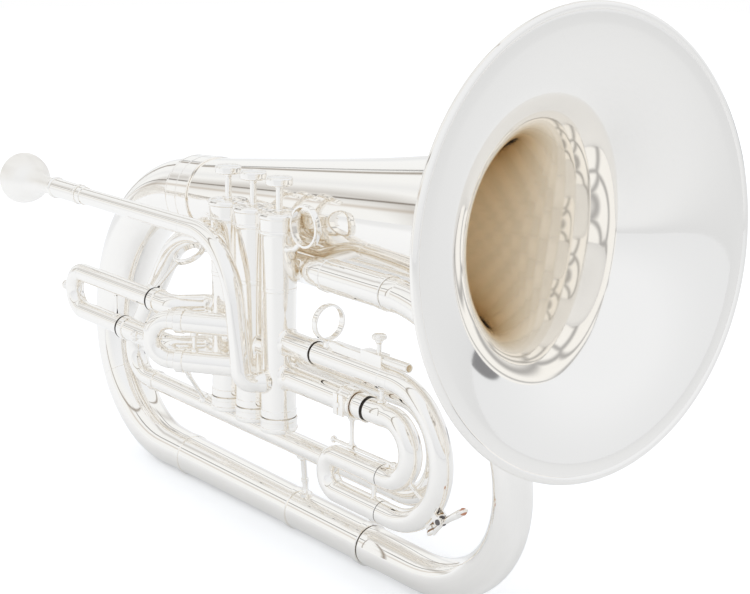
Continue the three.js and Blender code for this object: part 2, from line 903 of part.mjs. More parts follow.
function makeFirstSlide() {
  const { side, upperHeight, lowerHeight, turnForward, straightForward } = firstSlide;
  const { sleeveRadius, sleeveBend } = firstSlide;
  const first = valveForward(1);
  const makeSleeve = (name, height, end) => {
    const route = bentRoute([
      place(first, 0, height),
      place(turnForward, 0, height),
      place(straightForward, side, height),
      place(end, side, height),
    ], sleeveBend, upward);
    const tube = hollowTube(route, even(sleeveRadius), { sides: smallSides, collars: [endCollar(route)] });
    addPiece(name, cut(tube, casingEnvelope(1)));
  };
  makeSleeve('first_slide_upper_sleeve', upperHeight, firstSlide.upperSleeveEnd);
  makeSleeve('first_slide_lower_sleeve', lowerHeight, firstSlide.lowerSleeveEnd);

  const { legRadius, legEnd, bendForward, braceForward, braceRadius } = firstSlide;
  const spread = place(0, 0, lowerHeight - upperHeight);
  const legStart = place(legEnd, side, upperHeight);
  const route = slideRoute(legStart, place(bendForward, side, upperHeight), place(-1, 0, 0), spread);
  const bendSpan = Math.abs(spread.z) / 2;
  const bar = straight(
    place(braceForward, side, upperHeight - legRadius + tubeWall / 2),
    place(braceForward, side, lowerHeight + legRadius - tubeWall / 2),
  );
  const middle = (upperHeight + lowerHeight) / 2;
  const knobStart = bendForward - bendSpan - legRadius + tubeWall / 2;
  addPiece('first_slide', join(
    hollowTube(route, even(legRadius), { sides: smallSides }),
    rod(bar, even(braceRadius)),
    aimed(pullKnob(), place(-1, 0, 0), place(knobStart, side, middle)),
  ));

  const { forward: ringForward, outerRadius, width, leanAngle, saddleForward, saddleRadius } = firstRing;
  const facing = place(0, Math.sin(leanAngle), -Math.cos(leanAngle));
  const inPlane = place(0, Math.cos(leanAngle), Math.sin(leanAngle));
  const centre = place(ringForward, firstRing.side, firstRing.height);
  const hoop = aimed(band(outerRadius, firstRing.band, width, roundSides), facing, centre);
  const near = centre.clone().addScaledVector(inPlane, firstRing.band / 2 - outerRadius);
  const leg = place(saddleForward, side, upperHeight);
  const stem = rod(straight(leg, near), even(firstRing.stemRadius), smallSides);
  const padAim = near.clone().sub(leg);
  padAim.x = 0;
  padAim.normalize();
  const pad = aimed(disc(saddleRadius, legRadius + runningGap + footThickness, smallSides), padAim, leg);
  const tubeRound = envelope(leg, forward, legRadius, saddleRadius * cutterShare);
  addPiece('first_slide_finger_ring', cut(join(hoop, stem, pad), tubeRound));
}

function makeSecondSlide() {
  const { upperHeight, lowerHeight, cornerSide, aimAngle } = secondSlide;
  const { sleeveRadius, sleeveLength, sleeveBend } = secondSlide;
  const second = valveForward(2);
  const aim = place(-Math.cos(aimAngle), -Math.sin(aimAngle), 0);
  const along = (distance, height) => place(second, cornerSide, height).addScaledVector(aim, distance);
  const makeSleeve = (height) => {
    const route = bentRoute([
      place(second, 0, height),
      place(second, cornerSide, height),
      along(sleeveLength, height),
    ], sleeveBend, upward);
    const tube = hollowTube(route, even(sleeveRadius), { sides: smallSides, collars: [endCollar(route)] });
    return cut(tube, casingEnvelope(2));
  };
  addPiece('second_slide_upper_sleeve', makeSleeve(upperHeight));

  const { braceDistance, braceRadius } = secondSlide;
  const braceTop = along(braceDistance, upperHeight);
  const bar = straight(along(braceDistance, lowerHeight + sleeveRadius - tubeWall / 2), braceTop);
  const sleeveRound = envelope(braceTop, aim, sleeveRadius, braceRadius * cutterShare);
  const post = cut(rod(bar, even(braceRadius)), sleeveRound);
  addPiece('second_slide_lower_sleeve', join(makeSleeve(lowerHeight), post));

  const { legRadius, legEnd, bendDistance } = secondSlide;
  const spread = place(0, 0, lowerHeight - upperHeight);
  const route = slideRoute(along(legEnd, upperHeight), along(bendDistance, upperHeight), aim, spread);
  const bendSpan = Math.abs(spread.z) / 2;
  const knobDistance = bendDistance + bendSpan + legRadius - tubeWall / 2;
  const knobAt = along(knobDistance, (upperHeight + lowerHeight) / 2);
  addPiece('second_slide', join(
    hollowTube(route, even(legRadius), { sides: smallSides }),
    aimed(pullKnob(), aim, knobAt),
  ));
}

// The path of a bow that opens to the rear, in the upright plane of the valves
function bowRoute(top, low, middle, topStart, lowStart) {
  const bendRadius = (top - low) / 2;
  const reach = middle + bendRadius;
  return bentRoute([
    place(topStart, 0, top),
    place(reach, 0, top),
    place(reach, 0, low),
    place(lowStart, 0, low),
  ], bendRadius * (1 - closeShare), left);
}

// A cutter that leaves the running gap round a bent tube
function bentEnvelope(route, radius) {
  return rod(route, even((radius + runningGap) / Math.cos(Math.PI / smallSides)));
}

function makeThirdSlide() {
  const {
    upperHeight, lowerHeight, loopTopHeight, loopLowHeight, legRadius, sleeveRadius,
    outerBowForward, innerBowForward, ferruleForward, loopForward, legEnd, ferruleLength,
  } = thirdSlide;
  const makeSleeve = (name, height, end) => {
    const route = straight(place(0, 0, height), place(end, 0, height));
    const tube = hollowTube(route, even(sleeveRadius), { collars: [endCollar(route, collarRise / 2)] });
    addPiece(name, cut(tube, casingEnvelope(valve.count)));
  };
  makeSleeve('third_slide_upper_sleeve', upperHeight, thirdSlide.upperSleeveEnd);
  makeSleeve('third_slide_lower_sleeve', lowerHeight, thirdSlide.lowerSleeveEnd);

  const { tieAngle, tieForward } = thirdSlide;
  const outerRoute = bowRoute(upperHeight, loopLowHeight, outerBowForward, legEnd, ferruleForward);
  const innerRoute = bowRoute(lowerHeight, loopTopHeight, innerBowForward, legEnd, ferruleForward);
  const outerCentre = place(outerBowForward, 0, (upperHeight + loopLowHeight) / 2);
  const innerCentre = place(innerBowForward, 0, (lowerHeight + loopTopHeight) / 2);
  const outerReach = (upperHeight - loopLowHeight) / 2 - legRadius + tubeWall / 2;
  const innerReach = (lowerHeight - loopTopHeight) / 2;
  const tieAim = place(Math.cos(tieAngle), 0, Math.sin(tieAngle));
  const lowTie = rod(straight(
    innerCentre.clone().addScaledVector(tieAim, innerReach),
    outerCentre.clone().addScaledVector(tieAim, outerReach),
  ), even(stop.postRadius));
  const highTie = rod(straight(
    place(tieForward, 0, lowerHeight),
    place(tieForward, 0, upperHeight - legRadius + tubeWall / 2),
  ), even(stop.postRadius));
  const ties = cut(join(lowTie, highTie), bentEnvelope(innerRoute, legRadius));
  const outerBow = hollowTube(outerRoute, even(legRadius), { sides: smallSides });
  addPiece('third_slide_outer_bow', join(outerBow, ties));
  addPiece('third_slide_inner_bow', hollowTube(innerRoute, even(legRadius), { sides: smallSides }));

  const loopBend = (loopTopHeight - loopLowHeight) / 2;
  const loopEnd = ferruleForward - runningGap;
  const loopReach = loopForward - loopBend;
  const loopRoute = bentRoute([
    place(loopEnd, 0, loopTopHeight),
    place(loopReach, 0, loopTopHeight),
    place(loopReach, 0, loopLowHeight),
    place(loopEnd, 0, loopLowHeight),
  ], loopBend * (1 - closeShare), left);
  const loopTieForward = ferruleForward - ferruleLength - stop.postRadius;
  const loopTie = rod(straight(
    place(loopTieForward, 0, loopTopHeight - legRadius + tubeWall / 2),
    place(loopTieForward, 0, loopLowHeight + legRadius - tubeWall / 2),
  ), even(stop.postRadius));
  const loopCollars = [
    startCollar(collarRise / 2, ferruleLength),
    endCollar(loopRoute, collarRise / 2, ferruleLength),
  ];
  const loop = hollowTube(loopRoute, even(legRadius), { sides: smallSides, collars: loopCollars });
  addPiece('third_slide_loop', join(loop, loopTie));

  const legEnvelope = (where, length) => envelope(place(where, 0, upperHeight), forward, legRadius, length);
  const { forward: ringForward, height, outerRadius, width, footRadius } = thirdRing;
  const hoopBand = band(outerRadius, thirdRing.band, width, roundSides);
  const hoop = aimed(hoopBand, forward, place(ringForward, 0, height));
  const foot = disc(footRadius, height - outerRadius + thirdRing.band / 2 - upperHeight, smallSides);
  foot.translate(ringForward, 0, upperHeight);
  addPiece('third_slide_finger_ring', cut(join(hoop, foot), legEnvelope(ringForward, width * cutterShare)));

  const slab = (start, end, top) => {
    const box = new THREE.BoxGeometry(end - start, lyre.width, top - upperHeight);
    return box.translate((start + end) / 2, 0, (top + upperHeight) / 2);
  };
  const plate = slab(lyre.plateStart, lyre.blockEnd, lyre.plateTop);
  const block = slab(lyre.blockStart, lyre.blockEnd, lyre.top);
  const boreHeight = lyre.top - lyre.socketRadius;
  const socketStart = place(lyre.blockStart, 0, boreHeight);
  const socketLength = lyre.socketEnd - lyre.blockStart;
  const socket = aimed(disc(lyre.socketRadius, socketLength, smallSides), forward, socketStart);
  const boreStart = place(lyre.socketEnd - lyre.boreDepth, 0, boreHeight);
  const bore = aimed(disc(lyre.boreRadius, lyre.boreDepth + cutOverrun, smallSides), forward, boreStart);
  const screwHole = disc(lyre.screwRadius + runningGap, lyre.top - boreHeight + cutOverrun, smallSides);
  screwHole.translate(lyre.screwForward, 0, boreHeight);
  const holderMiddle = (lyre.plateStart + lyre.blockEnd) / 2;
  const holderCut = legEnvelope(holderMiddle, (lyre.socketEnd - lyre.plateStart) * 2);
  addPiece('lyre_holder', cut(join(plate, block, socket), bore, screwHole, holderCut));

  addPiece('lyre_thumbscrew', turned([
    [0, boreHeight],
    [lyre.screwRadius, boreHeight],
    [lyre.screwRadius, lyre.headBottom],
    [lyre.headRadius, lyre.headBottom],
    [lyre.headRadius, lyre.headBottom + lyre.headHeight],
    [0, lyre.headBottom + lyre.headHeight],
  ], smallSides).translate(lyre.screwForward, 0, 0));

  makeStop(legRadius, sleeveRadius, innerRoute);
}

// The stop rod rides on the loop and runs through an eye that the fixed sleeve carries
function makeStop(legRadius, sleeveRadius, innerRoute) {
  const { lowerHeight, loopTopHeight } = thirdSlide;
  const { rodStart, rodEnd, rodRadius, rodHeight, knobRadius, knobLength, footRadius, eyeRadius } = stop;
  const route = straight(place(rodStart, 0, rodHeight), place(rodEnd, 0, rodHeight));
  const rodCollars = [
    { from: 0, to: knobLength, rise: knobRadius - rodRadius },
    endCollar(route, knobRadius - rodRadius, knobLength),
  ];
  const bar = rod(route, even(rodRadius), smallSides, rodCollars);
  const { footForward } = stop;
  const foot = disc(footRadius, rodHeight - loopTopHeight, smallSides);
  foot.translate(footForward, 0, loopTopHeight);
  const legRound = envelope(
    place(footForward, 0, loopTopHeight),
    forward,
    legRadius + collarRise / 2,
    footRadius * cutterShare,
  );
  addPiece('stop_rod', cut(join(bar, foot), legRound, bentEnvelope(innerRoute, legRadius)));

  const { clampStart, clampEnd, clampWall, postRadius, eyeLength } = stop;
  const clampInner = sleeveRadius + runningGap;
  const clampLength = clampEnd - clampStart;
  const clampMiddle = (clampStart + clampEnd) / 2;
  const clamp = turned([
    [clampInner, 0],
    [clampInner + clampWall, 0],
    [clampInner + clampWall, clampLength],
    [clampInner, clampLength],
  ], roundSides);
  const ring = aimed(clamp, forward, place(clampStart, 0, lowerHeight));
  const eyeStart = place(clampMiddle - eyeLength / 2, 0, rodHeight);
  const eye = aimed(disc(eyeRadius, eyeLength, smallSides), forward, eyeStart);
  const post = rod(straight(
    place(clampMiddle, 0, lowerHeight - clampInner - clampWall / 2),
    place(clampMiddle, 0, rodHeight),
  ), even(postRadius));
  const rodPath = envelope(place(clampMiddle, 0, rodHeight), forward, rodRadius, eyeLength * 2, smallSides);
  addPiece('stop_clamp', cut(join(ring, eye, post), rodPath));
}

function makeWaterKey() {
  const { upperHeight, loopLowHeight, outerBowForward, legRadius } = thirdSlide;
  const bowRadius = (upperHeight - loopLowHeight) / 2;
  const centre = place(outerBowForward, 0, (upperHeight + loopLowHeight) / 2);
  const spoke = (angle) => place(Math.cos(angle), 0, Math.sin(angle));
  const onBow = (angle, reach) => centre.clone().addScaledVector(spoke(angle), bowRadius + reach);
  const {
    pivotAngle, nippleAngle, pivotReach, earThickness, earGap, earRadius, pinRadius, barrelRadius,
    nippleRadius, nippleReach, padRadius, padHeight, leverRadius, leverLength, touchRadius, touchThickness,
  } = waterKey;
  const pivot = onBow(pivotAngle, pivotReach);
  const width = earGap + earThickness * 2;

  const baseBox = new THREE.BoxGeometry(earRadius * 2, width, pivotReach);
  const base = aimed(baseBox, spoke(pivotAngle), onBow(pivotAngle, pivotReach / 2));
  const ears = aimed(disc(earRadius, width, smallSides), left, place(pivot.x, -width / 2, pivot.z));
  const slot = new THREE.BoxGeometry(waterKey.slotLength, earGap, (barrelRadius + runningGap) * 2);
  const slotAt = aimed(slot, spoke(pivotAngle), onBow(pivotAngle, pivotReach));
  const pin = aimed(disc(pinRadius, width, smallSides), left, place(pivot.x, -width / 2, pivot.z));
  const nippleDisc = disc(nippleRadius, nippleReach, smallSides);
  const nipple = aimed(nippleDisc, spoke(nippleAngle), onBow(nippleAngle, 0));
  const strapLength = bowRadius * (pivotAngle - nippleAngle);
  const strap = new THREE.BoxGeometry(strapLength + nippleRadius, width, footThickness * 2);
  const strapAngle = (pivotAngle + nippleAngle) / 2;
  const strapAt = aimed(strap, spoke(strapAngle), onBow(strapAngle, legRadius));
  const outerRoute = bowRoute(upperHeight, loopLowHeight, outerBowForward, outerBowForward, outerBowForward);
  const saddle = join(cut(join(base, ears), slotAt), pin, nipple, strapAt);
  addPiece('water_key_saddle', cut(saddle, bentEnvelope(outerRoute, legRadius)));

  const { touchAngle, leverBend } = waterKey;
  const leverAim = spoke(touchAngle);
  const touchAim = place(-Math.sin(touchAngle), 0, Math.cos(touchAngle)).negate();
  const barrel = aimed(disc(barrelRadius, earGap - runningGap * 2, smallSides), left,
    place(pivot.x, runningGap - earGap / 2, pivot.z));
  const pinRoom = envelope(pivot, left, pinRadius, width * 2, smallSides);
  const padCentre = onBow(nippleAngle, nippleReach + runningGap);
  const pad = aimed(disc(padRadius, padHeight, smallSides), spoke(nippleAngle), padCentre);
  const padTop = onBow(nippleAngle, nippleReach + runningGap + leverRadius);
  const touchEnd = pivot.clone().addScaledVector(leverAim, leverLength);
  const arm = rod(bentRoute([padTop, pivot, touchEnd], leverBend, left), even(leverRadius));
  const touch = aimed(disc(touchRadius, touchThickness, smallSides), touchAim, touchEnd);
  addPiece('water_key', cut(join(barrel, arm, pad, touch), pinRoom));
}

function makePinkyRing() {
  const { forward: ringForward, side, height, outerRadius, width, footTop, footBottom, footEnd } = pinkyRing;
  const hoopBand = band(outerRadius, pinkyRing.band, width, roundSides);
  const hoop = aimed(hoopBand, left, place(ringForward, side, height));
  const foot = new THREE.BoxGeometry(footEnd, width, footTop - footBottom);
  foot.translate(footEnd / 2, side, (footTop + footBottom) / 2);
  const hole = aimed(disc(outerRadius - pinkyRing.band, width * 2, roundSides), left,
    place(ringForward, side - width, height));
  addPiece('pinky_ring', cut(join(hoop, foot), hole, casingEnvelope(valve.count)));
}

function makeBraces() {
  const branch = { direction: forward, radius: outletBranch.radius };
  addPiece('first_sleeve_brace', brace(
    {
      centre: place(sleeveBrace.forwardTop, firstSlide.side, firstSlide.lowerHeight),
      direction: forward,
      radius: firstSlide.sleeveRadius,
    },
    { ...branch, centre: place(sleeveBrace.forwardLow, outletBranch.side, outletBranch.lowHeight) },
    sleeveBrace.radius,
    sleeveBrace.footRadius,
  ));
  addPiece('bottom_branch_brace', brace(
    { ...branch, centre: place(branchBrace.forward, outletBranch.side, outletBranch.lowHeight) },
    {
      centre: place(branchBrace.forward, bottomTube.side, bottomTube.height),
      direction: forward,
      radius: lowerSleeve.radius + collarRise,
    },
    branchBrace.radius,
    branchBrace.footRadius,
  ));
}

const bellTail = makeBell();
makeRearBow(bellTail);
makeMainSlide();
makeInnerBranches();
for (let number = 1; number <= valve.count; number += 1) {
  makeValve(number);
}
for (let number = 1; number < valve.count; number += 1) {
  makeKnuckle(number);
}
makeLeadpipe();
makeFirstSlide();
makeSecondSlide();
makeThirdSlide();
makeWaterKey();
makePinkyRing();
makeBraces();

const middle = new THREE.Box3().setFromObject(horn, true).getCenter(new THREE.Vector3());
horn.position.copy(middle).negate();

export default horn;
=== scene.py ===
# %% [markdown]
# # Marching baritone
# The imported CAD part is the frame. Every tube, bow, cap and ring is rebuilt here as a smooth surface
# in the same place, and rides on the CAD body of the node that it stands for.
# Lengths are in millimetres from the third valve's axis at the top of its button, and are turned
# into the frame's metres when a mesh is made.

import json
import math

import bmesh
import bpy
from mathutils import Matrix, Quaternion, Vector


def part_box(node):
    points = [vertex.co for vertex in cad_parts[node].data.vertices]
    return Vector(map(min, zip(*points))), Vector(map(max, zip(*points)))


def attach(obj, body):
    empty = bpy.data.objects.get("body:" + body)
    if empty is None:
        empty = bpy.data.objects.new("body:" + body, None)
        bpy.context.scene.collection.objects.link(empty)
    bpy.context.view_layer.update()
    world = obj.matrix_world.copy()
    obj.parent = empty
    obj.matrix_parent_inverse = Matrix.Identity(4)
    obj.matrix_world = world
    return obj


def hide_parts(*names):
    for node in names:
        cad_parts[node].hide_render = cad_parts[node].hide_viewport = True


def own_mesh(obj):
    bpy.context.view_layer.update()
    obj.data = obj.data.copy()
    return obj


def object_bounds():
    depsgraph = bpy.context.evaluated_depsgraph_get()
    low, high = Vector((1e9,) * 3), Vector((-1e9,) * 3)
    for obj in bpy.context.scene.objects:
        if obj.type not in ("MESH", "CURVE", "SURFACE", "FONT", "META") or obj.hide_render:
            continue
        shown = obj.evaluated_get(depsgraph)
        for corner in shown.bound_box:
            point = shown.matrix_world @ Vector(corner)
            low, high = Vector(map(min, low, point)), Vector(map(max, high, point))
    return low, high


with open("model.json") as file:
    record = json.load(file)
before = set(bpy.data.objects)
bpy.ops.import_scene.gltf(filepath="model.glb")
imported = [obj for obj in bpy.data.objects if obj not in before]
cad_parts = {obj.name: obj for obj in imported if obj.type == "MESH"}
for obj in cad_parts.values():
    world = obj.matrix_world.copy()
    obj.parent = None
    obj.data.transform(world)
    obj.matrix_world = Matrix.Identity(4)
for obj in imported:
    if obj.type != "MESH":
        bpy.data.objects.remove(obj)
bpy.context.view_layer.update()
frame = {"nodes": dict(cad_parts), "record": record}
BODIES = frame["record"]["behaviour"]["bodies"]
NODE_BODY = {node: body for body, nodes in BODIES.items() for node in nodes}
BUTTON_LOW, BUTTON_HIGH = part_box("finger_button_3")
ORIGIN = Vector(((BUTTON_LOW.x + BUTTON_HIGH.x) / 2, (BUTTON_LOW.y + BUTTON_HIGH.y) / 2, BUTTON_HIGH.z))
MM = 0.001
print("nodes", len(NODE_BODY), "origin", [round(v, 5) for v in ORIGIN])

# %% [markdown]
# ## Materials
# Silver plate is a mirror with a warm tint, so that light which has bounced many times inside the
# bell comes back golden. One node group gives the plate its fine smears and its faint waviness.


# %% Shader helpers
def new_node(tree, kind, place=(0, 0), **values):
    node = tree.nodes.new(kind)
    node.location = place
    for name, value in values.items():
        setattr(node, name, value)
    return node


def preset(node, **values):
    for name, value in values.items():
        node.inputs[name.replace("_", " ")].default_value = value
    return node


def link(tree, start, end):
    tree.links.new(start, end)


def connect(tree, *links):
    for start, outlet, end, inlet in links:
        link(tree, start.outputs[outlet], end.inputs[inlet])


def make_plate_group():
    group = bpy.data.node_groups.new("Silver plate", "ShaderNodeTree")
    group.interface.new_socket("Tint", in_out="INPUT", socket_type="NodeSocketColor")
    for name in ("Polish", "Smear", "Wave"):
        group.interface.new_socket(name, in_out="INPUT", socket_type="NodeSocketFloat")
    group.interface.new_socket("Shader", in_out="OUTPUT", socket_type="NodeSocketShader")
    inputs = new_node(group, "NodeGroupInput", (-900, 0))
    output = new_node(group, "NodeGroupOutput", (500, 0))
    where = new_node(group, "ShaderNodeTexCoord", (-900, -300))
    smear = preset(new_node(group, "ShaderNodeTexNoise", (-650, -200)), Scale=26.0, Detail=5.0, Roughness=0.62)
    scaled = new_node(group, "ShaderNodeMath", (-400, -150), operation="MULTIPLY")
    summed = new_node(group, "ShaderNodeMath", (-200, -80), operation="ADD")
    wave = preset(new_node(group, "ShaderNodeTexNoise", (-650, -500)), Scale=9.0, Detail=1.0)
    bump = preset(new_node(group, "ShaderNodeBump", (-200, -400)), Distance=0.001)
    metal = preset(new_node(group, "ShaderNodeBsdfPrincipled", (100, 0)), Metallic=1.0)
    connect(group,
            (where, "Object", smear, "Vector"), (where, "Object", wave, "Vector"),
            (smear, "Fac", scaled, 0), (inputs, "Smear", scaled, 1),
            (scaled, 0, summed, 0), (inputs, "Polish", summed, 1), (summed, 0, metal, "Roughness"),
            (wave, "Fac", bump, "Height"), (inputs, "Wave", bump, "Strength"), (bump, "Normal", metal, "Normal"),
            (inputs, "Tint", metal, "Base Color"), (metal, "BSDF", output, "Shader"))
    return group


PLATE = make_plate_group()


def plated(name, tint, polish, smear, wave):
    material = bpy.data.materials.new(name)
    material.use_nodes = True
    tree = material.node_tree
    tree.nodes.clear()
    group = new_node(tree, "ShaderNodeGroup", (0, 0), node_tree=PLATE)
    preset(group, Tint=(*tint, 1.0), Polish=polish, Smear=smear, Wave=wave)
    output = new_node(tree, "ShaderNodeOutputMaterial", (300, 0))
    connect(tree, (group, "Shader", output, "Surface"))
    return material


def make_cork():
    material = bpy.data.materials.new("Cork")
    material.use_nodes = True
    tree = material.node_tree
    surface = tree.nodes["Principled BSDF"]
    where = new_node(tree, "ShaderNodeTexCoord", (-800, 0))
    grain = preset(new_node(tree, "ShaderNodeTexVoronoi", (-600, 0)), Scale=900.0)
    colours = new_node(tree, "ShaderNodeValToRGB", (-350, 0))
    colours.color_ramp.elements[0].color = (0.20, 0.09, 0.035, 1.0)
    colours.color_ramp.elements[1].color = (0.52, 0.31, 0.15, 1.0)
    connect(tree, (where, "Object", grain, "Vector"), (grain, "Distance", colours, "Fac"),
            (colours, "Color", surface, "Base Color"))
    preset(surface, Roughness=0.85)
    return material


SILVER = plated("Silver plate", (0.950, 0.926, 0.886), 0.025, 0.045, 0.05)
BELL_SILVER = plated("Bell plate", (0.948, 0.922, 0.880), 0.03, 0.05, 0.03)
SATIN_SILVER = plated("Satin silver", (0.955, 0.932, 0.893), 0.34, 0.08, 0.03)
ALLOY = plated("Valve alloy", (0.72, 0.70, 0.66), 0.18, 0.1, 0.02)
STEEL = plated("Spring steel", (0.62, 0.62, 0.63), 0.2, 0.1, 0.02)
DARK_STEEL = plated("Blued steel", (0.16, 0.15, 0.15), 0.25, 0.1, 0.02)
COPPER = plated("Bare copper", (0.58, 0.30, 0.20), 0.3, 0.1, 0.02)
CORK = make_cork()
# Painted shade: a near-black plate that stands in for the shadowed gap where a slide leg enters its sleeve.
PAINTED_GAP_SHADE = plated("Painted gap shade", (0.05, 0.042, 0.035), 0.45, 0.2, 0.02)
print("materials", len(bpy.data.materials))

# %% [markdown]
# ## Shaping tools
# A route is a path of straight runs and round bends. A shell is a list of rings along a route,
# joined into one closed skin: a tube with an outer and an inner wall, or a solid rod.


# %% Routes
def V(x, y, z):
    return Vector((x, y, z))


FORWARD, LEFT, UP = V(1, 0, 0), V(0, 1, 0), V(0, 0, 1)


def bent(corners, bends=(), side=LEFT, step=5.0):
    corners = [Vector(c) for c in corners]
    stations = []

    def add(point, along):
        gap = (point - stations[-1][0]).length if stations else 0.0
        if stations and gap < 0.02:
            return
        stations.append([point, along, (stations[-1][2] if stations else 0.0) + gap])

    add(corners[0], (corners[1] - corners[0]).normalized())
    for i, corner in enumerate(corners[1:-1]):
        radius = bends[i] if hasattr(bends, "__len__") else bends
        before = (corner - corners[i]).normalized()
        after = (corners[i + 2] - corner).normalized()
        turn = before.angle(after)
        axis = before.cross(after).normalized()
        start = corner - before * (radius * math.tan(turn / 2))
        centre = start + axis.cross(before) * radius
        count = max(2, math.ceil(math.degrees(turn) / step))
        for k in range(count + 1):
            spin = Quaternion(axis, turn * k / count)
            add(centre + spin @ (start - centre), spin @ before)
    add(corners[-1], (corners[-1] - corners[-2]).normalized())
    across = Vector(side)
    for station in stations:
        across = (across - station[1] * across.dot(station[1])).normalized()
        station.append(across)
    return stations


def length_of(route):
    return route[-1][2]


def at(route, distance):
    i = 1
    while i < len(route) - 1 and route[i][2] < distance:
        i += 1
    a, b = route[i - 1], route[i]
    share = (distance - a[2]) / (b[2] - a[2])
    return a[0].lerp(b[0], share), a[1].lerp(b[1], share).normalized(), a[3].lerp(b[3], share).normalized()


def interpolate(breaks, distance):
    if distance <= breaks[0][0]:
        return breaks[0][1]
    for (d0, r0), (d1, r1) in zip(breaks, breaks[1:]):
        if distance <= d1:
            return r0 + (r1 - r0) * (distance - d0) / (d1 - d0)
    return breaks[-1][1]


def collar(start, end, rise, soft=0.35):
    return [(start, 0), (start, rise - soft), (start + soft, rise), (end - soft, rise), (end, rise - soft), (end, 0)]


def groove(middle, width=0.5, depth=0.3):
    return [(middle - width / 2, 0), (middle - width / 5, -depth),
            (middle + width / 5, -depth), (middle + width / 2, 0)]


def flare(start, rise=1.4, reach=2.6):
    return [(start, rise), (start + reach * 0.25, rise * 0.5), (start + reach * 0.6, rise * 0.15), (start + reach, 0)]


def rings_on(route, breaks, marks):
    total = length_of(route)
    rises = [(0.0, 0.0)] if not marks or marks[0][0] > 0 else []
    rises += list(marks)
    if rises[-1][0] < total:
        rises.append((total, 0.0))
    stops = sorted({s[2] for s in route} | {b[0] for b in breaks})
    rings = []
    for (d0, h0), (d1, h1) in zip(rises, rises[1:]):
        rings.append((d0, h0))
        for stop in stops:
            if d0 + 0.05 < stop < d1 - 0.05:
                rings.append((stop, h0 + (h1 - h0) * (stop - d0) / (d1 - d0)))
    rings.append(rises[-1])
    return [(*at(route, d), interpolate(breaks, d) + h) for d, h in rings]


# %% Shells
CORNER_SUPPORT = 0.25


def skin(rings, sides, looped):
    points, faces = [], []
    for point, along, side, radius in rings:
        up = along.cross(side)
        for k in range(sides):
            angle = 2 * math.pi * k / sides
            points.append(point + side * (radius * math.cos(angle)) + up * (radius * math.sin(angle)))
    count = len(rings)
    for i in range(count if looped else count - 1):
        j = (i + 1) % count
        for k in range(sides):
            m = (k + 1) % sides
            faces.append((i * sides + k, i * sides + m, j * sides + m, j * sides + k))
    if not looped:
        faces.append(tuple(reversed(range(sides))))
        faces.append(tuple((count - 1) * sides + k for k in range(sides)))
    return points, faces


def tube(route, breaks, wall=0.7, marks=(), sides=48, bore=None):
    breaks = breaks if isinstance(breaks, list) else [(0, breaks)]
    outer = rings_on(route, breaks, list(marks))
    inner = rings_on(route, bore or [(d, r - wall) for d, r in breaks], [])
    return skin(outer + inner[::-1], sides, True)


def rod(route, breaks, marks=(), sides=24):
    breaks = breaks if isinstance(breaks, list) else [(0, breaks)]
    return skin(rings_on(route, breaks, list(marks)), sides, False)


def softened(outline, soft):
    result = []
    count = len(outline)
    for i, here in enumerate(outline):
        here = Vector(here)
        before, after = Vector(outline[i - 1]), Vector(outline[(i + 1) % count])
        if here.x < 1e-6:
            result.append(here)
            continue
        back, ahead = before - here, after - here
        reach = min(soft, back.length * 0.3, ahead.length * 0.3)
        a, b = here + back.normalized() * reach, here + ahead.normalized() * reach
        first = here + back.normalized() * min(reach + CORNER_SUPPORT, back.length * 0.45)
        last = here + ahead.normalized() * min(reach + CORNER_SUPPORT, ahead.length * 0.45)
        result += [first, a, (a + b) / 4 + here / 2, b, last]
    return [(p.x, p.y) for p in result]


def turned(outline, place, aim=UP, sides=64, soft=0.25):
    outline = softened(outline, soft) if soft else outline
    turn = UP.rotation_difference(Vector(aim).normalized())
    points, faces = [], []
    for radius, height in outline:
        for k in range(sides):
            angle = 2 * math.pi * k / sides
            points.append(turn @ V(radius * math.cos(angle), radius * math.sin(angle), height) + Vector(place))
    count = len(outline)
    for i in range(count):
        j = (i + 1) % count
        for k in range(sides):
            m = (k + 1) % sides
            faces.append((i * sides + k, i * sides + m, j * sides + m, j * sides + k))
    return points, faces


def box_shell(low, high, turn=None, centre=None):
    points = [V(x, y, z) for x in (low[0], high[0]) for y in (low[1], high[1]) for z in (low[2], high[2])]
    if turn:
        points = [centre + turn @ (p - centre) for p in points]
    return points, [(0, 1, 3, 2), (4, 6, 7, 5), (0, 4, 5, 1), (2, 3, 7, 6), (0, 2, 6, 4), (1, 5, 7, 3)]


def curve_points(points, steps=6):
    points = [Vector(p) for p in points]
    ends = [points[0] * 2 - points[1], *points, points[-1] * 2 - points[-2]]
    result = []
    for a, b, c, d in zip(ends, ends[1:], ends[2:], ends[3:]):
        for k in range(steps):
            t = k / steps
            square, cube = a * 2 - b * 5 + c * 4 - d, b * 3 - a - c * 3 + d
            result.append((b * 2 + (c - a) * t + square * t * t + cube * t ** 3) / 2)
    result.append(points[-1])
    return result


# %% Pieces
MADE = []
CREASE = math.radians(38)
BEVEL_CREASE = 0.6


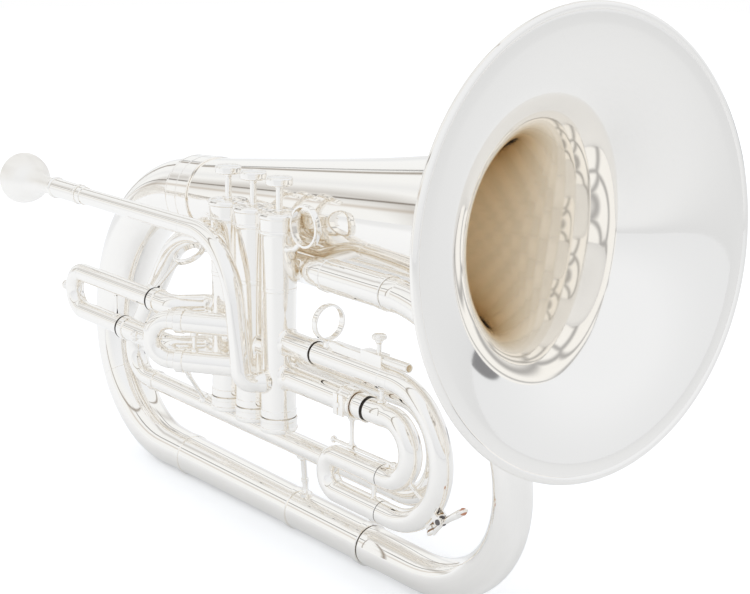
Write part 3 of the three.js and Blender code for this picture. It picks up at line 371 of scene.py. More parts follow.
def piece(node, *shells, material=SILVER, slot="silver_plate", name=None, stands=True, bevel=0.0):
    mesh = bpy.data.meshes.new(name or f"{node}_shell")
    maker = bmesh.new()
    for points, faces in shells:
        verts = [maker.verts.new(ORIGIN + Vector(p) * MM) for p in points]
        for face in faces:
            maker.faces.new([verts[k] for k in face])
    bmesh.ops.remove_doubles(maker, verts=maker.verts, dist=1e-7)
    bmesh.ops.dissolve_degenerate(maker, edges=maker.edges, dist=1e-7)
    bmesh.ops.recalc_face_normals(maker, faces=maker.faces)
    if bevel:
        sharp = [e for e in maker.edges if len(e.link_faces) == 2 and e.calc_face_angle() > BEVEL_CREASE]
        bmesh.ops.bevel(maker, geom=sharp, offset=bevel * MM, segments=2, affect="EDGES", profile=0.6)
    maker.to_mesh(mesh)
    maker.free()
    mesh.shade_smooth()
    mesh.set_sharp_from_angle(angle=CREASE)
    mesh.materials.append(material)
    thing = bpy.data.objects.new(name or f"{node}_shell", mesh)
    bpy.context.scene.collection.objects.link(thing)
    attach(thing, NODE_BODY[node])
    if stands:
        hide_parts(node)
    MADE.append(thing)
    return thing


def faces_of(thing):
    return len(thing.data.polygons)


# %% [markdown]
# ## The bell and the branches behind it

# %% Bell
BELL_PROFILE = [(2.4, 116.5), (6, 103), (12, 89), (21, 76), (34, 65), (52, 56), (76, 49.2), (110, 43.6), (160, 38.4),
                (230, 33.7), (300, 30), (375, 26.3)]
RIM_RADIUS, BEAD, SHEET = 127.0, 2.4, 0.9
TILT = math.radians(4.05)
BELL_AIM = V(math.cos(TILT), 0, math.sin(TILT))
RIM = V(219.8, 48, -11.7)


def bell_outline():
    eased = curve_points([(math.log(back + 6), math.log(radius)) for back, radius in BELL_PROFILE], 8)
    sheet = [(math.exp(p.x) - 6, math.exp(p.y)) for p in eased]
    outside = [(radius, -back) for back, radius in reversed(sheet)]
    inside = []
    for i, (back, radius) in enumerate(sheet):
        near, far = sheet[max(0, i - 1)], sheet[min(len(sheet) - 1, i + 1)]
        slope = (near[1] - far[1]) / (far[0] - near[0])
        size = math.hypot(1, slope)
        inside.append((radius - SHEET / size, -back + SHEET * slope / size))
    bead = []
    for k in range(25):
        angle = math.radians(-150 + 300 * k / 24)
        bead.append((RIM_RADIUS - BEAD + BEAD * math.cos(angle), BEAD * (math.sin(angle) - 1)))
    return outside + bead + inside


bell = piece("bell", turned(bell_outline(), RIM, BELL_AIM, sides=180, soft=0), material=BELL_SILVER)
TAIL = RIM - BELL_AIM * 375.3
RING_BACK = 389
garland = piece("garland_ring", turned(
    [(27.1, 0), (28.1, 0), (28.1, 1.5), (27.8, 1.6), (27.8, 13.0), (28.1, 13.1), (28.1, 14.1), (27.8, 14.2),
     (27.8, 26.4), (28.1, 26.5), (28.1, 28), (27.0, 28)],
    RIM - BELL_AIM * RING_BACK, BELL_AIM, sides=96, soft=0.1))
print("bell", faces_of(bell), "garland", faces_of(garland))

# %% Rear bow and bottom branch
BOTTOM = (27, -227)
REAR, REAR_BEND = -262, 92
top_corner = TAIL - BELL_AIM * ((TAIL.x - REAR) / BELL_AIM.x)
rear_route = bent([TAIL, top_corner, V(REAR, *BOTTOM), V(-150, *BOTTOM)], REAR_BEND)
REAR_LENGTH = length_of(rear_route)
piece("rear_bow", tube(rear_route, [(0, 25.8), (REAR_LENGTH, 14.25)], sides=64,
                       marks=groove(REAR_LENGTH - 108, 0.6, 0.25)))
branch_route = bent([V(-149.7, *BOTTOM), V(-18, *BOTTOM)])
piece("bottom_branch", tube(branch_route, [(0, 14.25), (131.7, 13.1)], sides=64, marks=collar(0, 6, 0.7)))
sleeve_route = bent([V(-17.7, *BOTTOM), V(62, *BOTTOM)])
piece("main_lower_sleeve", tube(sleeve_route, 13.0, sides=64, marks=collar(0, 5, 0.9) + collar(74, 79.7, 0.9)))
print("branches", len(MADE))

# %% Main tuning slide
TOP = (1.5, -52.8)
BOW_FRONT, UPPER_END, LOWER_END = 196.7, 52, -8
BOW_RISE = V(0, BOTTOM[0] - TOP[0], BOTTOM[1] - TOP[1]).length
main_route = bent([V(UPPER_END, *TOP), V(BOW_FRONT, *TOP), V(BOW_FRONT, *BOTTOM), V(LOWER_END, *BOTTOM)],
                  BOW_RISE / 2 - 0.05)
MAIN = length_of(main_route)
BEND_CENTRE = BOW_FRONT - BOW_RISE / 2
UPPER_STOP = BEND_CENTRE - 1.4 - UPPER_END
LOWER_STOP = MAIN - 70.3
piece("main_tuning_slide", tube(
    main_route, [(0, 9.2), (BEND_CENTRE - UPPER_END, 9.2), (MAIN - BEND_CENTRE + LOWER_END, 12.0), (MAIN, 12.0)],
    sides=64,
    marks=[(UPPER_STOP, 0), (UPPER_STOP, 0.3), (UPPER_STOP + 0.3, 0.6), (UPPER_STOP + 8, 0.6), (UPPER_STOP + 8.4, 0.35),
           (LOWER_STOP - 9.4, 0.45), (LOWER_STOP - 9, 0.7), (LOWER_STOP - 0.3, 0.7), (LOWER_STOP, 0.4),
           (LOWER_STOP, 0)]))
upper_sleeve_route = bent([V(47.3, *TOP), V(BEND_CENTRE - 1.7, *TOP)])
piece("main_upper_sleeve", tube(upper_sleeve_route, 10.0, sides=56, marks=collar(0, 4, 0.5) + collar(
    length_of(upper_sleeve_route) - 5, length_of(upper_sleeve_route), 0.5)))
print("main slide length", round(MAIN, 1))

# %% Inner branches
INNER_TOP, INNER_LOW = (20.5, -61), (22.5, -180)
branch = bent([V(-111.7, *INNER_TOP), V(8, *INNER_TOP), V(38, *TOP), V(47, *TOP)], 22)
piece("upper_branch", tube(branch, [(0, 7.8), (length_of(branch), 9.45)], marks=groove(14, 0.5, 0.2)))
inner_route = bent([V(-190.3, *INNER_LOW), V(-236, *INNER_LOW), V(-148, *INNER_TOP), V(-112, *INNER_TOP)], [20, 55])
INNER = length_of(inner_route)
piece("inner_bow", tube(inner_route, [(0, 7), (INNER, 7.8)], marks=collar(INNER - 6, INNER, 0.8)))
FIRST_VALVE, OUTLET = -56.14, (22.5, -120)
outlet_route = bent([V(FIRST_VALVE, 8, OUTLET[1]), V(FIRST_VALVE, *OUTLET), V(127, *OUTLET), V(127, *INNER_LOW),
                     V(-190, *INNER_LOW)], [10, 29.97, 29.97], UP)
OUTLET_LENGTH = length_of(outlet_route)
piece("valve_outlet_branch", tube(
    outlet_route, 7, marks=flare(3.2, 1.2) + groove(152, 0.5, 0.2) + groove(253, 0.5, 0.2)
    + collar(OUTLET_LENGTH - 6, OUTLET_LENGTH, 0.8)))
print("inner branches done")

# %% [markdown]
# ## The valve block

# %% Valves
PITCH = 28.07
CASING, BORE_RADIUS = 11.45, 10.45


def make_valve(number):
    x = (number - 3) * PITCH
    place = V(x, 0, 0)
    piece(f"valve_casing_{number}", turned(
        [(BORE_RADIUS, -160), (11, -160), (11, -152.7), (CASING - 0.25, -152.7), (CASING, -152.2), (CASING, -148),
         (CASING - 0.3, -147.7), (CASING - 0.3, -71.4), (CASING, -71), (CASING, -69), (CASING - 0.15, -68.7),
         (CASING - 0.15, -36), (CASING, -35.6), (CASING, -24.6), (BORE_RADIUS, -24.6)], place, soft=0.12))
    piece(f"top_cap_{number}", turned(
        [(11.7, -35), (13.1, -35), (13.4, -34.4), (13.4, -33.2), (12.9, -32.6), (12.9, -25.6), (13.4, -25),
         (13.4, -23.6), (12.7, -22.3), (11.2, -22.3), (10.9, -22.9), (8.6, -22.9), (8.3, -22.3), (4.6, -22.3),
         (3.9, -22.1), (2.9, -22.2), (2.8, -24.2), (11.7, -24.2)], place, soft=0.15))
    piece(f"bottom_cap_{number}", turned(
        [(1.6, -163), (9.4, -163), (9.9, -162.5), (11.5, -162.2), (12.1, -161.2), (12.1, -159.4), (11.7, -159),
         (11.7, -155.6), (12.1, -155.2), (12.1, -153.4), (11.8, -153), (11.3, -153), (11.3, -161.5),
         (1.6, -161.5)], place, soft=0.12))
    piece(f"piston_{number}", turned(
        [(0, -137), (9.7, -137), (10.15, -136.5), (10.15, -62.5), (9.7, -62), (0, -62)], place),
        material=ALLOY, slot="valve_alloy")
    piece(f"valve_stem_{number}", turned(
        [(0, -61.7), (2.5, -61.7), (2.5, -21), (2.1, -20.5), (2.1, -8), (2.6, -6.6), (2.6, -5.7), (0, -5.7)],
        place, sides=32))
    piece(f"finger_button_{number}", turned(
        [(0, -5.4), (7.6, -5.4), (8.3, -4.9), (8.45, -4.2), (8.45, -1.3), (8.1, -0.5), (7.4, -0.05), (6.7, -0.05),
         (6.4, -0.45), (0, -0.2)], place, soft=0.2))


for number in (1, 2, 3):
    make_valve(number)
for number in (1, 2):
    x = (number - 3) * PITCH
    route = bent([V(x + 9.6, 0, -110), V(x + PITCH - 9.6, 0, -110)])
    piece(f"valve_knuckle_{number}_{number + 1}", tube(route, 7, marks=flare(0, 0.9, 2.2)))
print("valves done", len(MADE))

# %% Leadpipe, receiver and mouthpiece
PIPE = (-24, -39.3)
lead_route = bent([V(-221, *PIPE), V(-19.7, *PIPE), V(-5.6, -24, -129), V(0.5, -8, -129)], [48, 8])
LEAD = length_of(lead_route)
piece("leadpipe", tube(lead_route, [(0, 5.9), (LEAD, 6.5)], marks=collar(13.1, 19, 0.6) + groove(150, 0.5, 0.2)
                       + [(LEAD - 6.5, 0), (LEAD - 4, 1.2), (LEAD - 3, 1.2)]))
piece("mouthpiece_receiver", turned(
    [(6.2, 0), (7.4, 0), (7.9, 0.5), (7.9, 2.4), (7.0, 3.2), (6.9, 34), (7.3, 34.6), (7.3, 37.4), (6.9, 38.2),
     (6.9, 39), (6.2, 39)],
    V(-247, *PIPE), FORWARD, soft=0.2))
cup = [(12.9, 1.3), (13.8, 0.35), (15.4, 0), (17.2, 0.35), (18.7, 1.4), (19.2, 2.8), (19.1, 5.2), (18.4, 8.8),
       (17.2, 12.6), (15.2, 17.2), (12.6, 21.4), (10.2, 25.2), (8.3, 29.4), (7.1, 33.6), (6.5, 38), (6.3, 42)]
shank = [(6.0, 48), (5.9, 54), (5.2, 80), (4.3, 80), (3.2, 30)]
inside = [(3.2, 26), (4.6, 24.4), (6.6, 22.3), (8.9, 19.2), (10.8, 15.4), (12.0, 11), (12.6, 6.6), (12.85, 3)]
smooth_cup = [(p.x, p.y) for p in curve_points(cup, 4)] + shank + [(p.x, p.y) for p in curve_points(inside, 4)]
piece("mouthpiece", turned(smooth_cup, V(-302, *PIPE), FORWARD, soft=0), material=SATIN_SILVER)
print("leadpipe length", round(LEAD, 1))


# %% Braces
STRUT_SIDE = V(0.3, 1, 0.5)
FOOT_DEPTH = 2.2


def strut(node, start, end, start_reach, end_reach, thin, foot):
    route = bent([start, end], side=STRUT_SIDE)
    total = length_of(route)
    middle = total / 2
    a, b = start_reach, total - end_reach
    profile = [
        (a - FOOT_DEPTH, foot), (a + 0.6, foot), (a + 1.1, foot * 0.8), (a + 1.9, thin * 1.25), (a + 3.2, thin),
        (middle - 1.6, thin), (middle - 1.1, thin * 1.3), (middle + 1.1, thin * 1.3), (middle + 1.6, thin),
        (b - 3.2, thin), (b - 1.9, thin * 1.25), (b - 1.1, foot * 0.8), (b - 0.6, foot), (b + FOOT_DEPTH, foot),
    ]
    inner = bent([at(route, a - FOOT_DEPTH)[0], at(route, b + FOOT_DEPTH)[0]], side=STRUT_SIDE)
    return piece(node, rod(inner, [(d - a + FOOT_DEPTH, r) for d, r in profile]))


strut("leadpipe_brace", V(FIRST_VALVE, -24, -41.5), V(FIRST_VALVE, 0, -41.5), 6.3, 11.3, 1.7, 3.8)
strut("first_sleeve_brace", V(-95, -22, -125), V(-118, *INNER_LOW), 7.5, 7, 1.6, 3.9)
strut("bottom_branch_brace", V(-5, *INNER_LOW), V(-5, *BOTTOM), 7, 13.9, 1.9, 4.1)
print("braces done", len(MADE))

# %% [markdown]
# ## The valve slides


# %% First slide
def knob(place, aim):
    outline = [(0, 0), (1.7, 0), (1.5, 3.2), (1.9, 4.1), (3.0, 4.7), (3.4, 5.6), (3.4, 7.2), (2.9, 8.3), (1.6, 8.9),
               (0, 9)]
    return turned(outline, place, aim, sides=32, soft=0.2)

def u_route(start, middle, aim, spread):
    radius = spread.length / 2
    corner = middle + aim * radius
    return bent([start, corner, corner + spread, start + spread], radius - 0.02, spread.normalized())


FIRST_SIDE, FIRST_UPPER, FIRST_LOWER, FIRST_BEND = -22, -97, -125, -212
FIRST_SPREAD = V(0, 0, FIRST_LOWER - FIRST_UPPER)


def first_sleeve(node, height, end):
    route = bent([V(-66, 0, height), V(-78, 0, height), V(-90, FIRST_SIDE, height), V(end, FIRST_SIDE, height)], 9, UP)
    total = length_of(route)
    piece(node, tube(route, 7.6, marks=flare(1.6, 1.0, 2.4) + collar(total - 6, total, 0.8)))


first_sleeve("first_slide_upper_sleeve", FIRST_UPPER, -111.4)
first_sleeve("first_slide_lower_sleeve", FIRST_LOWER, -152.5)
first_route = u_route(
    V(-95, FIRST_SIDE, FIRST_UPPER), V(FIRST_BEND, FIRST_SIDE, FIRST_UPPER), -FORWARD, FIRST_SPREAD)
FIRST = length_of(first_route)
piece("first_slide",
      tube(first_route, 6.55, marks=groove(117, 0.5, 0.2) + groove(FIRST - 117, 0.5, 0.2)),
      rod(bent([V(-165, FIRST_SIDE, -102), V(-165, FIRST_SIDE, -120)]),
          [(0, 3.2), (1.6, 3), (2.6, 1.6), (9, 1.6), (15.4, 1.6), (16.4, 3), (18, 3.2)]),
      knob(V(-232.3, FIRST_SIDE, -111), -FORWARD))
LEAN = math.radians(27)
RING_AIM = V(0, math.sin(LEAN), -math.cos(LEAN))
RING_SIDE = V(0, math.cos(LEAN), math.sin(LEAN))
ring_centre = V(-106, 1, -67)


def hoop(centre, aim, outer, band, width):
    half = width / 2
    outline = [(outer - band, -half), (outer - 0.25, -half), (outer, -half * 0.5), (outer, half * 0.5),
               (outer - 0.25, half), (outer - band, half)]
    return turned(outline, centre, aim, soft=0.3)


FINGER_RING, RING_BAND = 11.2, 1.7
stem_start = V(-120, FIRST_SIDE, FIRST_UPPER)
stem_end = ring_centre + RING_SIDE * (RING_BAND / 2 - FINGER_RING)
stem_aim = (stem_end - stem_start).normalized()
flat_aim = V(0, stem_aim.y, stem_aim.z).normalized()
piece("first_slide_finger_ring", hoop(ring_centre, RING_AIM, FINGER_RING, RING_BAND, 4),
      rod(bent([stem_start + stem_aim * 7.4, stem_end]),
          [(0, 2.4), (3, 1.7), (10, 1.5), ((stem_end - stem_start).length - 9, 1.9)]),
      turned([(0, 5.4), (4.3, 5.4), (4.3, 7.7), (3.6, 8.3), (0, 8.3)], stem_start, flat_aim, sides=32))
print("first slide done")

# %% Second slide
SWING = math.radians(34.2)
AIM2 = V(-math.cos(SWING), -math.sin(SWING), 0)
CORNER2 = V(-PITCH, -14.2, 0)
SECOND_UPPER, SECOND_LOWER, SECOND_LEG = -98.5, -124.5, 36.5


def second_at(distance, height):
    return V(CORNER2.x, CORNER2.y, height) + AIM2 * distance


def second_sleeve(node, height, *extra):
    route = bent([V(-PITCH, -9.6, height), second_at(0, height), second_at(40, height)], 4.4, UP)
    total = length_of(route)
    piece(node, tube(route, 7.3, marks=flare(1.6, 0.9, 2.2) + collar(total - 6, total, 0.8)), *extra)


second_sleeve("second_slide_upper_sleeve", SECOND_UPPER)
second_sleeve("second_slide_lower_sleeve", SECOND_LOWER, rod(
    bent([second_at(28, -119.5), second_at(28, -104)]),
    [(0, 2.8), (3.2, 2.6), (4.2, 1.5), (11.3, 1.5), (12.3, 2.6), (15.5, 2.8)]))
second_route = u_route(second_at(8, SECOND_UPPER), second_at(8 + SECOND_LEG, SECOND_UPPER), AIM2,
                       V(0, 0, SECOND_LOWER - SECOND_UPPER))
SECOND = length_of(second_route)
piece("second_slide",
      tube(second_route, 6.25, marks=groove(SECOND_LEG, 0.5, 0.2) + groove(SECOND - SECOND_LEG, 0.5, 0.2)),
      knob(second_at(63.4, -111.5), AIM2))
print("second slide done")

# %% Third slide: two nested bows and the loop
UPPER, LOWER, LOOP_TOP, LOOP_LOW = -102.8, -125.0, -162.5, -185.0


def third_sleeve(node, height, end):
    route = bent([V(9.5, 0, height), V(end, 0, height)])
    total = length_of(route)
    piece(node, tube(route, 7.85, marks=flare(1.4, 1.3, 3.4) + collar(total - 6, total, 0.6)))


third_sleeve("third_slide_upper_sleeve", UPPER, 40.5)
third_sleeve("third_slide_lower_sleeve", LOWER, 91)


LEG_START, LEG_END = 15, 105


def bow(top, low, middle):
    radius = (top - low) / 2
    front = middle + radius
    return bent([V(LEG_START, 0, top), V(front, 0, top), V(front, 0, low), V(LEG_END, 0, low)], radius - 0.02)


def spoke(degrees):
    return V(math.cos(math.radians(degrees)), 0, math.sin(math.radians(degrees)))


OUTER_BEND, INNER_BEND = 114, 110
OUTER_RADIUS, INNER_RADIUS = (UPPER - LOOP_LOW) / 2, (LOWER - LOOP_TOP) / 2
outer_route = bow(UPPER, LOOP_LOW, OUTER_BEND)
inner_bow_route = bow(LOWER, LOOP_TOP, INNER_BEND)
OUTER_CENTRE = V(OUTER_BEND, 0, (UPPER + LOOP_LOW) / 2)
INNER_CENTRE = V(INNER_BEND, 0, (LOWER + LOOP_TOP) / 2)
tie_aim = spoke(-40)
tie_start = INNER_CENTRE + tie_aim * (INNER_RADIUS + 7.1)
tie_end = OUTER_CENTRE + tie_aim * (OUTER_RADIUS - 6.4)
TIE = (tie_end - tie_start).length
piece("third_slide_outer_bow",
      tube(outer_route, 6.95, sides=56, marks=[(25.9, 0), (26.1, 0.25), (90, 0.25), (90.3, 0)] + groove(98, 0.5, 0.2)),
      rod(bent([tie_start, tie_end]), [(0, 2.2), (0.8, 1.5), (TIE - 1.6, 1.5), (TIE, 2.4)]),
      rod(bent([V(102, 0, LOWER + 7.2), V(102, 0, UPPER - 6.4)]),
          [(0, 2.8), (1, 2.7), (1.8, 1.5), (6.6, 1.5), (7.4, 2.6), (8.6, 2.8)]))
piece("third_slide_inner_bow",
      tube(inner_bow_route, 6.95, sides=56, marks=[(76.3, 0), (76.5, 0.25), (89.6, 0.25), (90, 0)]))
LOOP_START, LOOP_BACK = 104.7, 51.75
loop_route = bent([V(LOOP_START, 0, LOOP_TOP), V(LOOP_BACK, 0, LOOP_TOP), V(LOOP_BACK, 0, LOOP_LOW),
                   V(LOOP_START, 0, LOOP_LOW)], 11.23)
LOOP = length_of(loop_route)
piece("third_slide_loop",
      tube(loop_route, 6.95, sides=56, marks=collar(0, 7, 0.4, 0.2) + collar(LOOP - 7, LOOP, 0.4, 0.2)),
      rod(bent([V(96.5, 0, LOOP_TOP - 6.4), V(96.5, 0, LOOP_LOW + 6.4)]),
          [(0, 2.6), (1.1, 1.5), (8.6, 1.5), (9.7, 2.6)]))
print("third slide done", len(MADE))

# %% Finger ring, lyre holder and stop on the third slide
piece("third_slide_finger_ring", hoop(V(51, 0, -81.1), FORWARD, 11.4, 1.6, 4.5),
      turned([(0, -3.6), (3.4, -3.6), (3.2, -0.6), (2.4, 0.6), (2.0, 1.6), (0, 1.6)], V(51, 0, -92.6), sides=32))
SOCKET_HEIGHT, SCREW_AT = -92.1, 99
piece("lyre_holder",
      box_shell((55.5, -3.4, -97), (104.7, 3.4, -91.7)), box_shell((86, -3.6, -96.6), (105, 3.6, -89.2)),
      tube(bent([V(90, 0, SOCKET_HEIGHT), V(126, 0, SOCKET_HEIGHT)]), [(0, 2.85)], wall=0.85, sides=36), bevel=0.35)
piece("lyre_thumbscrew", turned(
    [(0, -92), (1.6, -92), (1.6, -83.6), (2.4, -82.6), (2.6, -81.2), (4.0, -80.9), (4.35, -80.3), (4.35, -78.9),
     (4.0, -78.2), (2.4, -78.5), (0, -78.6)], V(SCREW_AT, 0, 0), sides=48, soft=0.15))
ROD_HEIGHT, EYE_AT = -152.9, 75
rod_route = bent([V(56, 0, ROD_HEIGHT), V(117, 0, ROD_HEIGHT)])
piece("stop_rod",
      rod(rod_route, [(0, 1.2), (0.5, 2.0), (1.4, 2.3), (2.4, 2.0), (3.0, 1.05), (56.6, 1.05), (57.4, 1.9), (59.4, 2.1),
                      (61.0, 1.4)]),
      turned([(0, -2.4), (2.0, -2.4), (1.9, -1.4), (1.2, 0), (0, 0)], V(109, 0, ROD_HEIGHT), sides=24))
eye = [(1.45, -2.5), (2.3, -2.5), (2.5, -1.9), (2.5, 1.9), (2.3, 2.5), (1.45, 2.5)]
piece("stop_clamp",
      turned([(8.3, 0), (9.5, 0), (9.6, 2), (9.2, 2.6), (9.2, 10.4), (9.6, 11), (9.5, 13), (8.3, 13)],
             V(68.5, 0, LOWER), FORWARD, soft=0.2),
      turned([(r * 0.9, h) for r, h in eye], V(EYE_AT, 0, ROD_HEIGHT), FORWARD, sides=32, soft=0.15),
      rod(bent([V(EYE_AT, 0, LOWER - 9.2), V(EYE_AT, 0, -151.2)]),
          [(0, 2.8), (1.2, 2.6), (2.6, 1.5), (8, 1.3), (14.6, 1.4), (16.8, 1.9)]))
for name, low, high in (("rear", 69.2, 73.4), ("front", 74.4, 78.6)):
    piece("stop_clamp", box_shell((low, -10.4, LOWER - 6.5), (high, -8.4, LOWER + 6.5)),
          name=f"stop_clamp_{name}_plate", stands=False, bevel=0.3)
clamp_screw = [(0, 0), (1.5, 0), (1.7, 1.2), (1.3, 1.6), (0, 1.7)]
piece("stop_clamp", turned(clamp_screw, V(73.9, -9.6, LOWER), -LEFT, sides=24, soft=0.1),
      name="stop_clamp_screw", stands=False)
print("trim done", len(MADE))

# %% Painted shade: dark rings where the legs enter their sleeves stand in for the shadowed gap at each sleeve's end
def painted_shade_ring(name, node, place, aim, radius, width, rise=0.3):
    outline = [(radius + 0.03, 0), (radius + rise, 0), (radius + rise, width), (radius + 0.03, width)]
    piece(node, turned(outline, place, aim, sides=64, soft=0.05), material=PAINTED_GAP_SHADE, name=name, stands=False)


# Painted shade: each thin dark band sits round a leg at its sleeve's end.
painted_shade_ring("first_upper_gap_shade", "first_slide_upper_sleeve", V(-111.4, FIRST_SIDE, FIRST_UPPER), -FORWARD, 6.55, 1.7, 1.75)
painted_shade_ring("first_lower_gap_shade", "first_slide_lower_sleeve", V(-152.5, FIRST_SIDE, FIRST_LOWER), -FORWARD, 6.55, 1.7, 1.75)
painted_shade_ring("third_upper_gap_shade", "third_slide_upper_sleeve", V(40.5, 0, UPPER), FORWARD, 6.95, 0.8, 0.4)
painted_shade_ring("third_lower_gap_shade", "third_slide_lower_sleeve", V(91, 0, LOWER), FORWARD, 6.95, 1.5, 0.45)
painted_shade_ring("main_lower_gap_shade", "main_lower_sleeve", V(62, *BOTTOM), FORWARD, 12.0, 0.9, 0.6)

# %% Water key
PIVOT_ANGLE, STRAP_ANGLE, NIPPLE_ANGLE, TOUCH_ANGLE = -34, -40.5, -47.5, 33


def on_bow(degrees, reach):
    return OUTER_CENTRE + spoke(degrees) * (OUTER_RADIUS + reach)


def turned_box(size, centre, turn):
    half = Vector(size) / 2
    return box_shell(centre - half, centre + half, turn, centre)


def on_nipple(outline, soft):
    return turned(outline, on_bow(NIPPLE_ANGLE, 0), spoke(NIPPLE_ANGLE), sides=32, soft=soft)


PIVOT = on_bow(PIVOT_ANGLE, 11.2)
upright = UP.rotation_difference(spoke(PIVOT_ANGLE))
ear = [(0, 0), (2.3, 0), (2.3, 1.4), (0, 1.4)]
ears = [turned(ear, V(PIVOT.x, y, PIVOT.z), LEFT, sides=28, soft=0.2) for y in (-3.7, 2.3)]
cheeks = [turned_box((4.2, 1.3, 5.4), on_bow(PIVOT_ANGLE, 8.6) + V(0, y, 0), upright) for y in (-3.0, 3.0)]
strap = turned_box((11.5, 7.2, 1.4), on_bow(STRAP_ANGLE, 7.6), UP.rotation_difference(spoke(STRAP_ANGLE)))
screw_pin = turned([(0, -4.2), (1.7, -4.2), (1.7, -3.6), (1.0, -3.5), (1.0, 3.6), (1.5, 3.7), (1.5, 4.1), (0, 4.1)],
                   PIVOT, LEFT, sides=24, soft=0.1)
nipple = on_nipple([(0, 0), (2.9, 6.2), (2.6, 8), (2.4, 9.5), (1.6, 9.6), (0, 9.2)], 0.15)
piece("water_key_saddle", *ears, *cheeks, strap, nipple)
piece("water_key_saddle", screw_pin, material=DARK_STEEL, name="water_key_pin", stands=False)
touch_aim = spoke(TOUCH_ANGLE)
touch_face = V(touch_aim.z, 0, -touch_aim.x)
touch_end = PIVOT + touch_aim * 19
arm = bent([on_bow(NIPPLE_ANGLE, 11.8), PIVOT + spoke(PIVOT_ANGLE) * 0.8, touch_end], 4, LEFT, step=8)
ARM = length_of(arm)
piece("water_key",
      rod(arm, [(0, 1.6), (4, 1.5), (ARM - 16, 1.6), (ARM - 8, 2.1), (ARM - 2, 2.3), (ARM, 1.6)], sides=20),
      turned([(1.25, -1.95), (2.1, -1.95), (2.2, -1.4), (2.2, 1.4), (2.1, 1.95), (1.25, 1.95)], PIVOT, LEFT,
             sides=28, soft=0.15),
      on_nipple([(0, 10.6), (3.6, 10.6), (3.7, 11.4), (3.0, 12.2), (0, 12.6)], 0.2),
      turned([(0, -0.9), (3.2, -0.9), (3.6, -0.2), (3.5, 0.5), (2.6, 0.9), (0, 0.7)], touch_end, touch_face,
             sides=32, soft=0.2))
piece("water_key", on_nipple([(0, 9.75), (2.7, 9.75), (3.1, 10.1), (3.1, 10.7), (0, 10.7)], 0.15),
      material=CORK, name="water_key_cork", stands=False)
tip_route = bent([touch_end - touch_aim * 0.6, touch_end + touch_aim * 2.6])
piece("water_key", rod(tip_route, [(0, 1.7), (1.6, 2.2), (2.6, 1.9), (3.2, 1.1)]),
      material=COPPER, name="water_key_touch_tip", stands=False)
print("water key done", len(MADE))

# %% Little finger ring
ring = hoop(V(28.5, -1, -26.5), LEFT, 13.4, 1.8, 4.4)
foot_route = bent([V(10.6, -1, -43), V(17.6, -1, -42.2), V(22.5, -1, -38.4)], 5)
piece("pinky_ring", ring, rod(foot_route, [(0, 3.2), (1.2, 3.0), (3, 2.1), (length_of(foot_route), 1.7)], sides=28))
print("pieces", len(MADE))

# %% [markdown]
# ## Repeated detail
# Geometry Nodes makes the knurled edge of the thumbscrew, of the two pull knobs and of the bottom
# caps, and winds the three valve springs and the water key's spring.


# %% Knurl and coil groups
def open_group(title, sockets):
    group = bpy.data.node_groups.new(title, "GeometryNodeTree")
    for way in ("INPUT", "OUTPUT"):
        group.interface.new_socket("Geometry", in_out=way, socket_type="NodeSocketGeometry")
    names = {}
    for key, title, default in sockets:
        kind = "NodeSocketInt" if isinstance(default, int) else "NodeSocketFloat"
        socket = group.interface.new_socket(title, in_out="INPUT", socket_type=kind)
        socket.default_value = default
        names[key] = socket.identifier
    names["material"] = group.interface.new_socket(
        "Material", in_out="INPUT", socket_type="NodeSocketMaterial").identifier
    return group, names, new_node(group, "NodeGroupInput", (-800, 0))


def close_group(group, inputs, last, outlet):
    real = new_node(group, "GeometryNodeRealizeInstances", (50, 50))
    paint = new_node(group, "GeometryNodeSetMaterial", (300, 50))
    output = new_node(group, "NodeGroupOutput", (600, 0))
    connect(group, (last, outlet, real, "Geometry"), (real, "Geometry", paint, "Geometry"),
            (inputs, "Material", paint, "Material"), (paint, "Geometry", output, "Geometry"))


def make_knurl_group():
    group, names, inputs = open_group("Knurled edge", (
        ("count", "Ridge count", 40), ("radius", "Edge radius", 0.004),
        ("height", "Ridge height", 0.001), ("width", "Ridge radius", 0.0002)))
    circle = new_node(group, "GeometryNodeMeshCircle", (-500, 100))
    ridge = preset(new_node(group, "GeometryNodeMeshCylinder", (-500, -150)), Vertices=8)
    place = new_node(group, "GeometryNodeInstanceOnPoints", (-200, 50))
    connect(group, (inputs, "Ridge count", circle, "Vertices"), (inputs, "Edge radius", circle, "Radius"),
            (inputs, "Ridge height", ridge, "Depth"), (inputs, "Ridge radius", ridge, "Radius"),
            (circle, "Mesh", place, "Points"), (ridge, "Mesh", place, "Instance"))
    close_group(group, inputs, place, "Instances")
    return group, names


def make_coil_group():
    group, names, inputs = open_group("Wound spring", (
        ("turns", "Turns", 3.0), ("radius", "Coil radius", 0.007),
        ("height", "Coil height", 0.02), ("wire", "Wire radius", 0.0005)))
    spiral = preset(new_node(group, "GeometryNodeCurveSpiral", (-500, 100)), Resolution=28)
    wire = preset(new_node(group, "GeometryNodeCurvePrimitiveCircle", (-500, -200)), Resolution=10)
    sweep = preset(new_node(group, "GeometryNodeCurveToMesh", (-200, 50)), Fill_Caps=True)
    connect(group, (inputs, "Turns", spiral, "Rotations"), (inputs, "Coil radius", spiral, "Start Radius"),
            (inputs, "Coil radius", spiral, "End Radius"), (inputs, "Coil height", spiral, "Height"),
            (inputs, "Wire radius", wire, "Radius"), (spiral, "Curve", sweep, "Curve"),
            (wire, "Curve", sweep, "Profile Curve"))
    close_group(group, inputs, sweep, "Mesh")
    return group, names


KNURL, KNURL_NAMES = make_knurl_group()
COIL, COIL_NAMES = make_coil_group()


